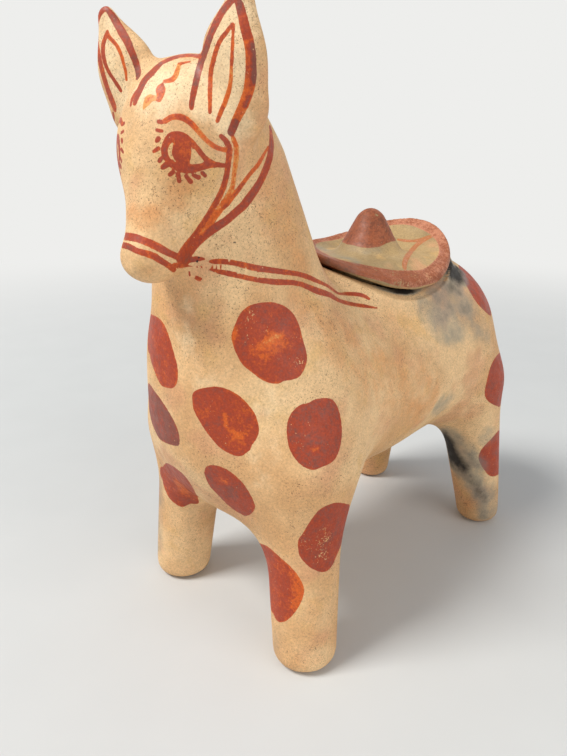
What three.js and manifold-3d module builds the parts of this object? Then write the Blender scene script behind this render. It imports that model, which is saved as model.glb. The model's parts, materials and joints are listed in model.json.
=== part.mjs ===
// Clay donkey container: a hollow donkey of fired clay whose lid is a small wide-brimmed hat.
// Millimetres, +Z up. The donkey looks along -Y and its left side is +X. The origin lies on the
// table, under the middle of the bounding box.
//
// The clay is one blended surface, given as a distance: negative inside, positive outside. Each
// piece that the potter formed by itself is meshed from that surface and cut off along its seam.

import * as THREE from "three";
import { mergeVertices } from "three/addons/utils/BufferGeometryUtils.js";
import Module from "manifold-3d";

// Barrel: three blended lumps, chest, belly and rump, on the middle plane
const chestY = -62;
const chestZ = 124;
const chestHalfWidth = 59.5;
const chestHalfLength = 49.5;
const chestHalfHeight = 63.5;
const bellyY = 9.5;
const bellyZ = 126;
const bellyHalfWidth = 56;
const bellyHalfLength = 107;
const bellyHalfHeight = 56.5;
const rumpY = 81.5;
const rumpZ = 136;
const rumpHalfWidth = 54.5;
const rumpHalfLength = 49.5;
const rumpHalfHeight = 53.5;
const barrelBlend = 29.5;
const wall = 7;

// Neck: a tapering round cone, a little narrower across than along
const neckBaseY = -66.5;
const neckBaseZ = 164;
const neckBaseRadius = 47;
const neckTopY = -79;
const neckTopZ = 235.5;
const neckTopRadius = 31.5;
const neckSqueeze = 0.92;
const neckBlend = 18.5;
const neckSeamUp = 13; // seam with the barrel, along the neck's axis from its base
const neckSeamLean = 17; // degrees that the seam leans back from square to the axis
const neckCap = 10; // clay left between the neck's hollow and the head

// Head: poll, muzzle, brow and nose, turned a little to the donkey's left
const headTurn = 11; // degrees
const headTurnY = -76.5; // place of the vertical axis that the head turns about
const pollY = -94.5;
const pollZ = 252.5;
const pollRadius = 31;
const muzzleY = -117;
const muzzleZ = 220.5;
const muzzleRadius = 15.5;
const headSqueeze = 0.92;
const browY = -103.5;
const browZ = 245.5;
const browRadius = 23;
const browWidening = 1.15;
const browBlend = 10;
const noseY = -124.5;
const noseZ = 206;
const noseHalfWidth = 12.5;
const noseHalfLength = 13;
const noseHalfHeight = 10.5;
const noseBlend = 8;
const headBlend = 8;
const throatBehindNose = 7; // the seam of head and neck runs from under the chin
const throatBelowChin = 4;
const napeBehindPoll = 37.5; // to behind the ears
const napeAbovePoll = 20;

// Ears: flat leaves, each from its root to its tip, placed from the poll's centre on the unturned head
const earRoot = { x: 25.5, y: -7, z: 12, radius: 16 };
const earMiddle = { x: 28.5, y: -10, z: 26, radius: 12.5 };
const earTip = { x: 36.5, y: -14, z: 48.5, radius: 3.5 };
const earFlatness = 0.48;
const earYaw = -3.5; // degrees that the leaf's wide side turns from straight across
const earBlend = 4;

// Legs: tapering stumps, cut off along a slanting seam under the barrel
const frontFoot = { x: 52.5, y: -75.5, radius: 16.5 };
const frontLegTop = { x: 44, y: -69, z: 99, radius: 19.5 };
const rearFoot = { x: 48.5, y: 112.5, radius: 14.5 };
const rearLegTop = { x: 37, y: 101.5, z: 102, radius: 21 };
const footCentreZ = 8.5;
const soleRounding = 6;
const soleTrim = 0.6; // depth of clay worn flat where a sole stands
const legBlend = 29;
const legSeamZ = 83; // height of the seam on the leg's axis
const legSeamSlope = 45; // degrees

// Tail: a short roll of clay pressed to the rump
const tailTopZ = 168;
const tailEndZ = 122;
const tailTopRadius = 7;
const tailEndRadius = 5;
const tailProud = 4.5; // how far it stands out of the rump

// Mouth of the container: an oval hole in the back with a collar round it, under the lid
const mouthX = -1.5;
const mouthY = 37;
const mouthHalfWidth = 28.5;
const mouthHalfLength = 44.5;
const collarWidth = 9;
const collarBlend = 12;
const collarSeat = 1.5; // height cut off the collar's round top, which leaves the lid's seat
const collarFoot = 4; // how far the collar's piece spreads past its wall, into the back
const collarDepth = 30; // the collar's wall reaches this far down into the barrel's wall

// Lid: a hat whose brim droops at the donkey's left side and curls up at both ends
const brimSideReach = 3.5; // how far the brim reaches past the collar at the donkey's sides
const brimEndReach = 4.5; // and towards its neck and rump
const brimThickness = 6;
const brimFloorZ = 192; // top of the brim round the crown's foot
const brimFlatShare = 0.5; // share of the brim's radius that stays level
const brimEdgeRise = 12; // mean height of the edge over the level part
const brimSideDroop = 14.8; // what both sides lose of it
const brimLeftDroop = 9.1; // what the donkey's left side loses, and its right side gains
const brimRearRise = 4.1;
const brimCurve = 1.5; // exponent of the brim's bend
const crownHeight = 26.5;
const crownRadius = 20.5;
const crownBell = [ // radius and height from the foot up to the top, as shares of the crown's own
  [0, 0], [1, 0], [1, 0.04], [0.82, 0.24], [0.67, 0.42], [0.56, 0.56],
  [0.48, 0.67], [0.38, 0.79], [0.23, 0.91], [0.12, 0.98], [0, 1],
];
const flangeGap = 1.2; // running gap between the locating ring and the mouth
const flangeWidth = 5;
const flangeBottomZ = 168;

// Seams and mesh sizes
const seam = 0.3; // layer of slip between neighbouring pieces
const barrelCell = 11;
const hollowCell = 14;
const neckCell = 10;
const headCell = 7.5;
const legCell = 8;
const collarCell = 8;
const meshMargin = 25; // room round a piece's rough box when it is meshed
const cutterRise = 40; // height over the brim's floor that the cutting columns reach
const farAway = 500; // size of the blocks that cut along a plane
const sliver = 0.05; // corners nearer than this are one corner

const wasm = await Module();
wasm.setup();

const radians = THREE.MathUtils.degToRad;
const point = (x, y, z) => new THREE.Vector3(x, y, z);

// Distance functions

const smoothUnion = (a, b, blend) => {
  const share = THREE.MathUtils.clamp(0.5 + (0.5 * (b - a)) / blend, 0, 1);
  return b * (1 - share) + a * share - blend * share * (1 - share);
};
const smoothCut = (a, b, blend) => -smoothUnion(-a, -b, blend);

function ellipsoid(p, centre, radii) {
  const q = p.clone().sub(centre);
  const near = q.clone().divide(radii).length();
  const slope = q.divide(radii).divide(radii).length() + 1e-9;
  return (near * (near - 1)) / slope;
}

// A round cone from one ball to another, squeezed square to its axis and to the given side
function roundCone(p, from, to, fromRadius, toRadius, side, squeeze = 1) {
  const axis = to.clone().sub(from);
  const length = axis.length();
  axis.divideScalar(length);
  const q = p.clone().sub(from);
  if (side) {
    const square = side.clone().addScaledVector(axis, -side.dot(axis)).normalize();
    const flat = axis.clone().cross(square);
    q.addScaledVector(flat, q.dot(flat) * (1 / squeeze - 1));
  }
  const along = q.dot(axis);
  const out = Math.sqrt(Math.max(q.lengthSq() - along * along, 0));
  const taper = (toRadius - fromRadius) / length;
  const share = THREE.MathUtils.clamp((along + taper * out) / length, 0, 1);
  const radius = fromRadius + (toRadius - fromRadius) * share;
  return (Math.hypot(out, along - share * length) - radius) * squeeze;
}

const foreAft = point(0, 1, 0);
const mirrored = (p) => point(Math.abs(p.x), p.y, p.z);
const upward = point(0, 0, 1);
const headPivot = point(0, headTurnY, 0);
function turnedBy(p, degrees) {
  return p.clone().sub(headPivot).applyAxisAngle(upward, radians(degrees)).add(headPivot);
}
const unturned = (p) => turnedBy(p, -headTurn);

const chestRadii = point(chestHalfWidth, chestHalfLength, chestHalfHeight);
const bellyRadii = point(bellyHalfWidth, bellyHalfLength, bellyHalfHeight);
const rumpRadii = point(rumpHalfWidth, rumpHalfLength, rumpHalfHeight);
function barrelDistance(p) {
  const chest = ellipsoid(p, point(0, chestY, chestZ), chestRadii);
  const belly = ellipsoid(p, point(0, bellyY, bellyZ), bellyRadii);
  const rump = ellipsoid(p, point(0, rumpY, rumpZ), rumpRadii);
  return smoothUnion(smoothUnion(chest, belly, barrelBlend), rump, barrelBlend);
}

const neckBase = point(0, neckBaseY, neckBaseZ);
const neckTop = point(0, neckTopY, neckTopZ);
function neckDistance(p) {
  return roundCone(p, neckBase, neckTop, neckBaseRadius, neckTopRadius, foreAft, neckSqueeze);
}

const poll = point(0, pollY, pollZ);
const muzzle = point(0, muzzleY, muzzleZ);
const browRadii = point(browRadius * browWidening, browRadius, browRadius);
const noseRadii = point(noseHalfWidth, noseHalfLength, noseHalfHeight);
function headDistance(p) {
  const q = unturned(p);
  const skull = roundCone(q, poll, muzzle, pollRadius, muzzleRadius, foreAft, headSqueeze);
  const brow = ellipsoid(q, point(0, browY, browZ), browRadii);
  const nose = ellipsoid(q, point(0, noseY, noseZ), noseRadii);
  return smoothUnion(smoothUnion(skull, brow, browBlend), nose, noseBlend);
}

const earSide = point(Math.cos(radians(earYaw)), Math.sin(radians(earYaw)), 0);
const placeOf = (ball) => point(ball.x, ball.y, ball.z);
const earPlace = (ball, side = 1) => poll.clone().add(point(side * ball.x, ball.y, ball.z));
function earDistance(p) {
  const q = mirrored(unturned(p));
  const [root, middle, tip] = [earPlace(earRoot), earPlace(earMiddle), earPlace(earTip)];
  const lower = roundCone(q, root, middle, earRoot.radius, earMiddle.radius, earSide, earFlatness);
  const upper = roundCone(q, middle, tip, earMiddle.radius, earTip.radius, earSide, earFlatness);
  return smoothUnion(lower, upper, earBlend);
}

const footOf = (foot) => point(foot.x, foot.y, footCentreZ);
const stump = (p, foot, top) => roundCone(p, footOf(foot), placeOf(top), foot.radius, top.radius);
function legDistance(p) {
  const q = mirrored(p);
  const stumps = Math.min(stump(q, frontFoot, frontLegTop), stump(q, rearFoot, rearLegTop));
  return smoothCut(stumps, -p.z - soleTrim, soleRounding);
}

// Lid: where a point lies on the brim, as a share of the brim's radius, and the heights there
const brimHalfWidth = mouthHalfWidth + collarWidth + brimSideReach;
const brimHalfLength = mouthHalfLength + collarWidth + brimEndReach;
function brimMiddle(x, y) {
  const across = (x - mouthX) / brimHalfWidth;
  const along = (y - mouthY) / brimHalfLength;
  const share = Math.hypot(across, along);
  if (share <= brimFlatShare) return brimFloorZ - brimThickness / 2;
  const [c, s] = [across / share, along / share];
  const edge = brimEdgeRise - brimSideDroop * c * c - brimLeftDroop * c + brimRearRise * s;
  const bend = ((share - brimFlatShare) / (1 - brimFlatShare)) ** brimCurve;
  return brimFloorZ - brimThickness / 2 + edge * bend;
}
const brimUnderside = (x, y) => brimMiddle(x, y) - brimThickness / 2;

// Collar: a wall with a round top that follows the brim's underside
function collarDistance(p) {
  const halfWidth = mouthHalfWidth + collarWidth / 2;
  const halfLength = mouthHalfLength + collarWidth / 2;
  const [x, y] = [p.x - mouthX, p.y - mouthY];
  const share = Math.hypot(x / halfWidth, y / halfLength) + 1e-9;
  const slope = Math.hypot(x / halfWidth ** 2, y / halfLength ** 2) / share + 1e-9;
  const top = brimUnderside(mouthX + x / share, mouthY + y / share) + collarSeat - collarWidth / 2;
  const above = Math.max(p.z - top, top - collarDepth - p.z, 0);
  return Math.hypot((share - 1) / slope, above) - collarWidth / 2;
}

const coreDistance = (p) => smoothUnion(barrelDistance(p), neckDistance(p), neckBlend);
function skinDistance(p) {
  const body = smoothUnion(coreDistance(p), legDistance(p), legBlend);
  const collared = smoothUnion(body, collarDistance(p), collarBlend);
  return smoothUnion(collared, headDistance(p), headBlend);
}

// Slope of a distance function at a point
function slopeAt(distance, p) {
  const step = 0.05;
  const along = (axis) => {
    const ahead = p.clone().setComponent(axis, p.getComponent(axis) + step);
    const behind = p.clone().setComponent(axis, p.getComponent(axis) - step);
    return (distance(ahead) - distance(behind)) / (2 * step);
  };
  return point(along(0), along(1), along(2));
}

// Moves a point onto the surface, no further than the given reach
function settle(distance, p, reach) {
  const start = p.clone();
  const flattest = 0.05;
  for (let turn = 0; turn < 6; turn++) {
    const slope = slopeAt(distance, p);
    p.addScaledVector(slope, -distance(p) / Math.max(slope.lengthSq(), flattest));
  }
  return p.distanceTo(start) > reach ? start : p;
}

// Meshes the clay inside a box: one vertex in each cell that the surface crosses. The grid starts
// a little over a cell outside the box, so that no grid point lies on the box's own faces.
function clayMesh(distance, low, high, cell) {
  const size = high.clone().sub(low);
  const counts = [size.x, size.y, size.z].map((length) => Math.ceil(length / cell) + 3);
  const start = low.clone().addScalar(-cell * 1.01);
  const boxSkin = 0.5; // vertices nearer than this to the box's faces stay where they are
  const place = (i, j, k) => point(start.x + i * cell, start.y + j * cell, start.z + k * cell);
  const middle = low.clone().add(high).multiplyScalar(0.5);
  const boxed = (p) => {
    const q = p.clone().sub(middle);
    const outside = [Math.abs(q.x) - size.x / 2, Math.abs(q.y) - size.y / 2, Math.abs(q.z) - size.z / 2];
    return Math.max(distance(p), ...outside);
  };
  const index = (i, j, k) => (i * counts[1] + j) * counts[2] + k;
  const values = new Float64Array(counts[0] * counts[1] * counts[2]);
  const everyNode = (act) => {
    for (let i = 0; i < counts[0]; i++) {
      for (let j = 0; j < counts[1]; j++) {
        for (let k = 0; k < counts[2]; k++) act(i, j, k);
      }
    }
  };
  everyNode((i, j, k) => {
    values[index(i, j, k)] = boxed(place(i, j, k));
  });

  const corners = [0, 1, 2, 3, 4, 5, 6, 7].map((n) => [n & 1, (n >> 1) & 1, n >> 2]);
  const edgesFrom = (n) => [1, 2, 4].filter((bit) => !(n & bit)).map((bit) => [corners[n], corners[n | bit]]);
  const edges = corners.flatMap((corner, n) => edgesFrom(n));
  const vertexOf = new Map();
  const positions = [];
  everyNode((i, j, k) => {
    if (Math.max(i - counts[0], j - counts[1], k - counts[2]) >= -1) return;
    const crossings = [];
    for (const [a, b] of edges) {
      const [from, to] = [a, b].map((c) => values[index(i + c[0], j + c[1], k + c[2])]);
      if (from < 0 === to < 0) continue;
      const [start, end] = [a, b].map((c) => place(i + c[0], j + c[1], k + c[2]));
      crossings.push(start.lerp(end, from / (from - to)));
    }
    if (!crossings.length) return;
    const p = crossings.reduce((sum, q) => sum.add(q), point(0, 0, 0)).divideScalar(crossings.length);
    if (distance(p) > boxed(p) - boxSkin) settle(distance, p, cell / 2);
    vertexOf.set(index(i, j, k), positions.length / 3);
    positions.push(p.x, p.y, p.z);
  });

  const triangles = [];
  const turns = [[0, 1, 2], [1, 2, 0], [2, 0, 1]];
  everyNode((i, j, k) => {
    for (const [axis, u, v] of turns) {
      const node = [i, j, k];
      const next = [...node];
      next[axis] += 1;
      if (next[axis] >= counts[axis] || node[u] < 1 || node[v] < 1) continue;
      const inside = values[index(...node)] < 0;
      if (inside === values[index(...next)] < 0) continue;
      const ring = [[0, 0], [-1, 0], [-1, -1], [0, -1]].map(([du, dv]) => {
        const at = [...node];
        at[u] += du;
        at[v] += dv;
        return vertexOf.get(index(...at));
      });
      const [a, b, c, d] = inside ? ring : ring.reverse();
      triangles.push(a, b, c, a, c, d);
    }
  });
  const geometry = new THREE.BufferGeometry();
  geometry.setAttribute("position", new THREE.Float32BufferAttribute(positions, 3));
  geometry.setIndex(triangles);
  return geometry;
}

// Solids

function solidOf(geometry) {
  const bare = geometry.clone();
  for (const name of Object.keys(bare.attributes)) {
    if (name !== "position") bare.deleteAttribute(name);
  }
  const merged = mergeVertices(bare, 1e-4);
  const vertProperties = new Float32Array(merged.attributes.position.array);
  const triVerts = new Uint32Array(merged.index.array);
  return new wasm.Manifold(new wasm.Mesh({ numProp: 3, vertProperties, triVerts }));
}

// Cuts leave corners that nearly meet, and edges where two parts of a surface just touch, so that
// four faces share them. Those corners are joined, and the faces that shrink to nothing dropped.
function joinedCorners(corners, joined) {
  const kept = [];
  for (let n = 0; n < corners.length; n += 3) {
    const [a, b, c] = [0, 1, 2].map((m) => joined.get(corners[n + m]) ?? corners[n + m]);
    if (a !== b && b !== c && c !== a) kept.push(a, b, c);
  }
  return kept;
}
function touchingEdges(corners) {
  const faces = new Map();
  for (let n = 0; n < corners.length; n++) {
    const next = n % 3 === 2 ? n - 2 : n + 1;
    const edge = [corners[n], corners[next]].sort((a, b) => a - b).join();
    faces.set(edge, (faces.get(edge) ?? 0) + 1);
  }
  return [...faces.keys()].filter((edge) => faces.get(edge) > 2).map((edge) => edge.split(",").map(Number));
}

function geometryOf(solid) {
  const mesh = solid.getMesh();
  const cut = new THREE.BufferGeometry();
  cut.setAttribute("position", new THREE.Float32BufferAttribute(mesh.vertProperties, 3));
  cut.setIndex(Array.from(mesh.triVerts));
  const geometry = mergeVertices(cut, sliver);
  let corners = joinedCorners(Array.from(geometry.index.array), new Map());
  for (let edges = touchingEdges(corners); edges.length; edges = touchingEdges(corners)) {
    corners = joinedCorners(corners, new Map([edges[0]]));
  }
  geometry.setIndex(corners);
  geometry.computeVertexNormals();
  return geometry;
}

// Clay around a rough box, given by its corners
function claySolid(distance, low, high, cell) {
  const [roomLow, roomHigh] = [low.clone().addScalar(-meshMargin), high.clone().addScalar(meshMargin)];
  return solidOf(clayMesh(distance, roomLow, roomHigh, cell));
}

// A block that fills the side of a plane that its normal points to, moved off it by a shift
function sideOf(origin, normal, shift = 0) {
  const block = new THREE.BoxGeometry(farAway, farAway, farAway).translate(0, 0, farAway / 2 + shift);
  const turn = new THREE.Quaternion().setFromUnitVectors(upward, normal.clone().normalize());
  return solidOf(block.applyQuaternion(turn).translate(origin.x, origin.y, origin.z));
}

// An oval column round the middle of the mouth
function ovalColumn(halfWidth, halfLength, low, high) {
  const column = new THREE.CylinderGeometry(1, 1, high - low, 36).rotateX(Math.PI / 2);
  return solidOf(column.scale(halfWidth, halfLength, 1).translate(mouthX, mouthY, (low + high) / 2));
}

// Seams between the pieces

const neckAxis = neckTop.clone().sub(neckBase).normalize();
const neckSeamPoint = neckBase.clone().addScaledVector(neckAxis, neckSeamUp);
const neckSeamNormal = neckAxis.clone().applyAxisAngle(point(1, 0, 0), radians(neckSeamLean));
const throat = point(0, noseY + throatBehindNose, noseZ - noseHalfHeight - throatBelowChin);
const nape = point(0, pollY + napeBehindPoll, pollZ + napeAbovePoll);
const headSeamNormal = nape.clone().sub(throat).applyAxisAngle(point(1, 0, 0), Math.PI / 2).normalize();

function legSeam(foot, top, side) {
  const share = (legSeamZ - footCentreZ) / (top.z - footCentreZ);
  const origin = point(side * (foot.x + (top.x - foot.x) * share), 0, legSeamZ);
  const normal = point(side * Math.sin(radians(legSeamSlope)), 0, -Math.cos(radians(legSeamSlope)));
  return { origin, normal };
}
const legs = [
  { name: "leg_front_left", foot: frontFoot, top: frontLegTop, side: 1, end: -1 },
  { name: "leg_front_right", foot: frontFoot, top: frontLegTop, side: -1, end: -1 },
  { name: "leg_rear_left", foot: rearFoot, top: rearLegTop, side: 1, end: 1 },
  { name: "leg_rear_right", foot: rearFoot, top: rearLegTop, side: -1, end: 1 },
];

// The block that holds one leg: under its slanting seam, at its end and side of the barrel
function legBlock({ foot, top, side, end }, shift) {
  const { origin, normal } = legSeam(foot, top, side);
  return sideOf(origin, normal, shift)
    .intersect(sideOf(point(0, bellyY, 0), point(0, end, 0)))
    .intersect(sideOf(point(0, 0, 0), point(side, 0, 0)));
}

// The hollow of barrel and neck, open to each other
const neckHollowEnd = throat.clone().addScaledVector(headSeamNormal, -neckCap);
const coreLow = point(-chestHalfWidth, bellyY - bellyHalfLength, bellyZ - bellyHalfHeight);
const coreHigh = point(chestHalfWidth, bellyY + bellyHalfLength, neckTopZ + neckTopRadius);
const hollow = claySolid((p) => coreDistance(p) + wall, coreLow, coreHigh, hollowCell)
  .subtract(sideOf(neckHollowEnd, headSeamNormal));

// Pieces of the donkey

function barrel() {
  const high = point(coreHigh.x, coreHigh.y, rumpZ + rumpHalfHeight);
  let solid = claySolid(skinDistance, coreLow, high, barrelCell);
  solid = solid.subtract(sideOf(neckSeamPoint, neckSeamNormal, -seam / 2));
  for (const leg of legs) solid = solid.subtract(legBlock(leg, -seam / 2));
  return solid.subtract(collarColumn(seam)).subtract(brimRoom).subtract(hollow);
}

function neck() {
  const low = point(-neckBaseRadius, neckBaseY - neckBaseRadius, neckBaseZ);
  const high = point(neckBaseRadius, neckBaseY + neckBaseRadius, neckTopZ + neckTopRadius);
  return claySolid(skinDistance, low, high, neckCell)
    .intersect(sideOf(neckSeamPoint, neckSeamNormal, seam / 2))
    .subtract(sideOf(throat, headSeamNormal, -seam / 2))
    .subtract(hollow);
}

const headLow = point(-pollRadius, noseY - noseHalfLength, noseZ - noseHalfHeight);
const headHigh = point(pollRadius, pollY + pollRadius, pollZ + pollRadius);
const headBlank = (distance) => claySolid(distance, headLow, headHigh, headCell);
const head = () => headBlank(skinDistance).intersect(sideOf(throat, headSeamNormal, seam / 2));

// A ball pressed onto the surface of a distance function
function pressedBall(distance, from, to, girth, sides, rings) {
  const axis = to.clone().sub(from);
  const ball = new THREE.SphereGeometry(1, sides, rings).rotateX(Math.PI / 2);
  ball.scale(girth, girth, axis.length() / 2);
  ball.applyQuaternion(new THREE.Quaternion().setFromUnitVectors(upward, axis.clone().normalize()));
  ball.translate((from.x + to.x) / 2, (from.y + to.y) / 2, (from.z + to.z) / 2);
  const positions = ball.attributes.position;
  const p = point(0, 0, 0);
  for (let n = 0; n < positions.count; n++) {
    settle(distance, p.fromBufferAttribute(positions, n), farAway);
    positions.setXYZ(n, p.x, p.y, p.z);
  }
  return solidOf(ball);
}

function ear(side) {
  const [root, tip] = [earRoot, earTip].map((ball) => turnedBy(earPlace(ball, side), headTurn));
  const leaf = pressedBall(earDistance, root, tip, earMiddle.radius * earFlatness, 16, 12);
  return leaf.subtract(headBlank((p) => skinDistance(p) - seam));
}

function leg(which) {
  const { foot, top, side } = which;
  const reach = Math.max(foot.radius, top.radius);
  const xs = [side * top.x, side * foot.x];
  const ys = [foot.y, top.y];
  const low = point(Math.min(...xs) - reach, Math.min(...ys) - reach, 0);
  const high = point(Math.max(...xs) + reach, Math.max(...ys) + reach, top.z + reach);
  return claySolid(skinDistance, low, high, legCell)
    .intersect(legBlock(which, seam / 2))
    .intersect(sideOf(point(0, 0, 0), upward));
}

// A roll that follows the rump and stands proud of it
function tailDistance(p) {
  const share = THREE.MathUtils.clamp((p.z - tailEndZ) / (tailTopZ - tailEndZ), 0, 1);
  const radius = tailEndRadius + (tailTopRadius - tailEndRadius) * share;
  const beyond = Math.max(p.z - tailTopZ, tailEndZ - p.z, 0);
  return Math.hypot(p.x, skinDistance(p) + radius - tailProud, beyond) - radius;
}

// The rump's rear at a height, come upon from behind
function rumpRear(z) {
  const p = point(0, bellyY + bellyHalfLength + rumpHalfLength, z);
  for (let turn = 0; turn < 40; turn++) p.y -= 0.7 * skinDistance(p);
  return p;
}

function tail() {
  const [top, end] = [rumpRear(tailTopZ), rumpRear(tailEndZ)];
  const low = point(-tailTopRadius, Math.min(top.y, end.y) - tailTopRadius, tailEndZ);
  const high = point(tailTopRadius, Math.max(top.y, end.y) + tailTopRadius, tailTopZ);
  const rump = claySolid((p) => skinDistance(p) - seam, low, high, legCell);
  return pressedBall(tailDistance, top, end, tailTopRadius, 14, 12).subtract(rump);
}

// Collar, and the column that it fills

function collarColumn(gap) {
  const halfWidth = mouthHalfWidth + collarWidth + collarFoot + gap;
  const halfLength = mouthHalfLength + collarWidth + collarFoot + gap;
  return ovalColumn(halfWidth, halfLength, bellyZ, brimFloorZ + cutterRise);
}

// A ball pressed flat to the brim's outline, grown outward, with heights given by two functions
function pressedDisc(grown, bottomAt, topAt) {
  const disc = new THREE.SphereGeometry(1, 32, 14).rotateX(Math.PI / 2);
  const positions = disc.attributes.position;
  for (let n = 0; n < positions.count; n++) {
    const x = mouthX + positions.getX(n) * (brimHalfWidth + grown);
    const y = mouthY + positions.getY(n) * (brimHalfLength + grown);
    positions.setXYZ(n, x, y, positions.getZ(n) > 1e-6 ? topAt(x, y) : bottomAt(x, y));
  }
  return solidOf(disc);
}

// The room that the brim needs, from a layer of slip below it upward
const brimRoom = pressedDisc(2 * seam, (x, y) => brimUnderside(x, y) - seam, () => brimFloorZ + cutterRise);

function collar() {
  const reach = collarWidth + collarFoot;
  const low = point(mouthX - mouthHalfWidth - reach, mouthY - mouthHalfLength - reach, bellyZ);
  const high = point(mouthX + mouthHalfWidth + reach, mouthY + mouthHalfLength + reach, brimFloorZ);
  return claySolid(skinDistance, low, high, collarCell)
    .intersect(collarColumn(0))
    .subtract(ovalColumn(mouthHalfWidth, mouthHalfLength, bellyZ - seam, brimFloorZ + cutterRise + seam))
    .subtract(brimRoom)
    .subtract(hollow);
}

// Pieces of the lid

// The brim's edge is rounded: half of its thickness at a point
function brimHalfThickness(x, y) {
  const share = Math.hypot((x - mouthX) / brimHalfWidth, (y - mouthY) / brimHalfLength);
  return (brimThickness / 2) * Math.sqrt(Math.max(1 - share ** 8, 0));
}
function brim() {
  const bottomAt = (x, y) => brimMiddle(x, y) - brimHalfThickness(x, y);
  return pressedDisc(0, bottomAt, (x, y) => brimMiddle(x, y) + brimHalfThickness(x, y));
}

function crown() {
  const heightOf = (h) => seam + h * (crownHeight - seam);
  const profile = crownBell.map(([r, h]) => new THREE.Vector2(r * crownRadius, heightOf(h)));
  const shape = new THREE.LatheGeometry(profile, 24).rotateX(Math.PI / 2);
  return solidOf(shape.translate(mouthX, mouthY, brimFloorZ));
}

function flange() {
  const profile = [[1, 0], [0, 0], [0, 1], [1, 1], [1, 0]].map(([r, h]) => new THREE.Vector2(1 + r, h));
  const ring = new THREE.LatheGeometry(profile.reverse(), 36).rotateX(Math.PI / 2);
  const positions = ring.attributes.position;
  const [halfWidth, halfLength] = [mouthHalfWidth - flangeGap, mouthHalfLength - flangeGap];
  for (let n = 0; n < positions.count; n++) {
    const [x, y, h] = [positions.getX(n), positions.getY(n), positions.getZ(n)];
    const out = Math.hypot(x, y);
    const inset = flangeWidth * (2 - out);
    const placeX = mouthX + (x / out) * (halfWidth - inset);
    const placeY = mouthY + (y / out) * (halfLength - inset);
    positions.setXYZ(n, placeX, placeY, h > 0.5 ? brimMiddle(placeX, placeY) : flangeBottomZ);
  }
  return solidOf(ring).subtract(brimRoom);
}

// Assembly

const creamClay = new THREE.Color(0xdcbd92);
const redSlip = new THREE.Color(0x9c4a32);
function named(name, solid, colour = creamClay) {
  const material = new THREE.MeshStandardMaterial({ color: colour, roughness: 0.85, metalness: 0 });
  const mesh = new THREE.Mesh(geometryOf(solid), material);
  mesh.name = name;
  return mesh;
}

const donkey = new THREE.Group();
donkey.add(named("barrel", barrel()), named("mouth_collar", collar()), named("neck", neck()));
donkey.add(named("head", head()), named("ear_left", ear(1)), named("ear_right", ear(-1)));
donkey.add(named("tail", tail()));
for (const which of legs) donkey.add(named(which.name, leg(which)));

const lid = new THREE.Group();
lid.add(named("lid_brim", brim()), named("lid_crown", crown(), redSlip), named("lid_flange", flange()));

const container = new THREE.Group();
container.add(donkey, lid);
export default container;
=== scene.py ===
import json

import bmesh
import bpy
import numpy as np
from mathutils import Matrix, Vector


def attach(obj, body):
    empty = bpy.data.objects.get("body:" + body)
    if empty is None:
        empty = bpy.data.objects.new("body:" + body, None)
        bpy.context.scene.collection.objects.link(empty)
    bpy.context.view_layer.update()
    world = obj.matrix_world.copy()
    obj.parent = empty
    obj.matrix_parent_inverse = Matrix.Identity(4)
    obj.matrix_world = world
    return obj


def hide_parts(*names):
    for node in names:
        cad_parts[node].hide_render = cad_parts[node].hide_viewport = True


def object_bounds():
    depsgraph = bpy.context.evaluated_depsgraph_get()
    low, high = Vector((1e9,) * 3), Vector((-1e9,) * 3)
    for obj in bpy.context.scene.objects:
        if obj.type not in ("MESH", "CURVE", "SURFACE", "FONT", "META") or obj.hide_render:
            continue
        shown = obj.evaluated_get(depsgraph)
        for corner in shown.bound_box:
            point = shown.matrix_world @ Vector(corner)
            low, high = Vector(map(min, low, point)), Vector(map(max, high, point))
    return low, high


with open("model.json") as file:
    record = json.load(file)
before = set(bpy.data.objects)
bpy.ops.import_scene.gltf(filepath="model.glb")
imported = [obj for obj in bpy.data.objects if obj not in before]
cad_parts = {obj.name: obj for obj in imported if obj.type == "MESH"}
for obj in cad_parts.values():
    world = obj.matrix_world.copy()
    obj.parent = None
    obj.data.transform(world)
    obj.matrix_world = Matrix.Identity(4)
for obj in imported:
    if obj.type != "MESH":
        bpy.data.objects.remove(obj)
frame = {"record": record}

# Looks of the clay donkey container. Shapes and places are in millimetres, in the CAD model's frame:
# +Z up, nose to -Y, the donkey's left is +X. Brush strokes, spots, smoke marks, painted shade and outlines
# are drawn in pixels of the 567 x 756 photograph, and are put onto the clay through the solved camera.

MM = 0.001
CAD_BOX = [np.array(corner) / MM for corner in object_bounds()]

# Camera
PHOTO_WIDTH = 567
PHOTO_HEIGHT = 756
CAMERA_PLACE = np.array([221.6, -259.6, 239.9])
CAMERA_AZIMUTH = 45.17
CAMERA_PITCH = 19.19
CAMERA_ROLL = 0.2
FOCAL_PIXELS = 600.12
SENSOR = 36.0
RAY_START = 120  # from the camera, well in front of the object
RAY_STEPS = 110
RAY_STRIDE = 0.75  # share of the distance to the surface that a ray moves in a step

# Light and floor
LAMP_AIM = [0, 0, 140]
LAMPS = [  # name, place, side in metres, watts, colour
    ("key_soft_box", (-800, -1950, 2900), 1.2, 110, (1.0, 0.98, 0.95)),
    ("fill_soft_box", (3000, 0, 1400), 2.7, 41, (1.0, 0.98, 0.96)),
]
SKY = (0.9, 0.94, 1.0, 1)
SKY_LIGHT = 0.36
FLOOR_REACH = 6.0  # metres
FLOOR_DROP = 0.0002  # metres, so that the feet don't share the floor's plane

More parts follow.
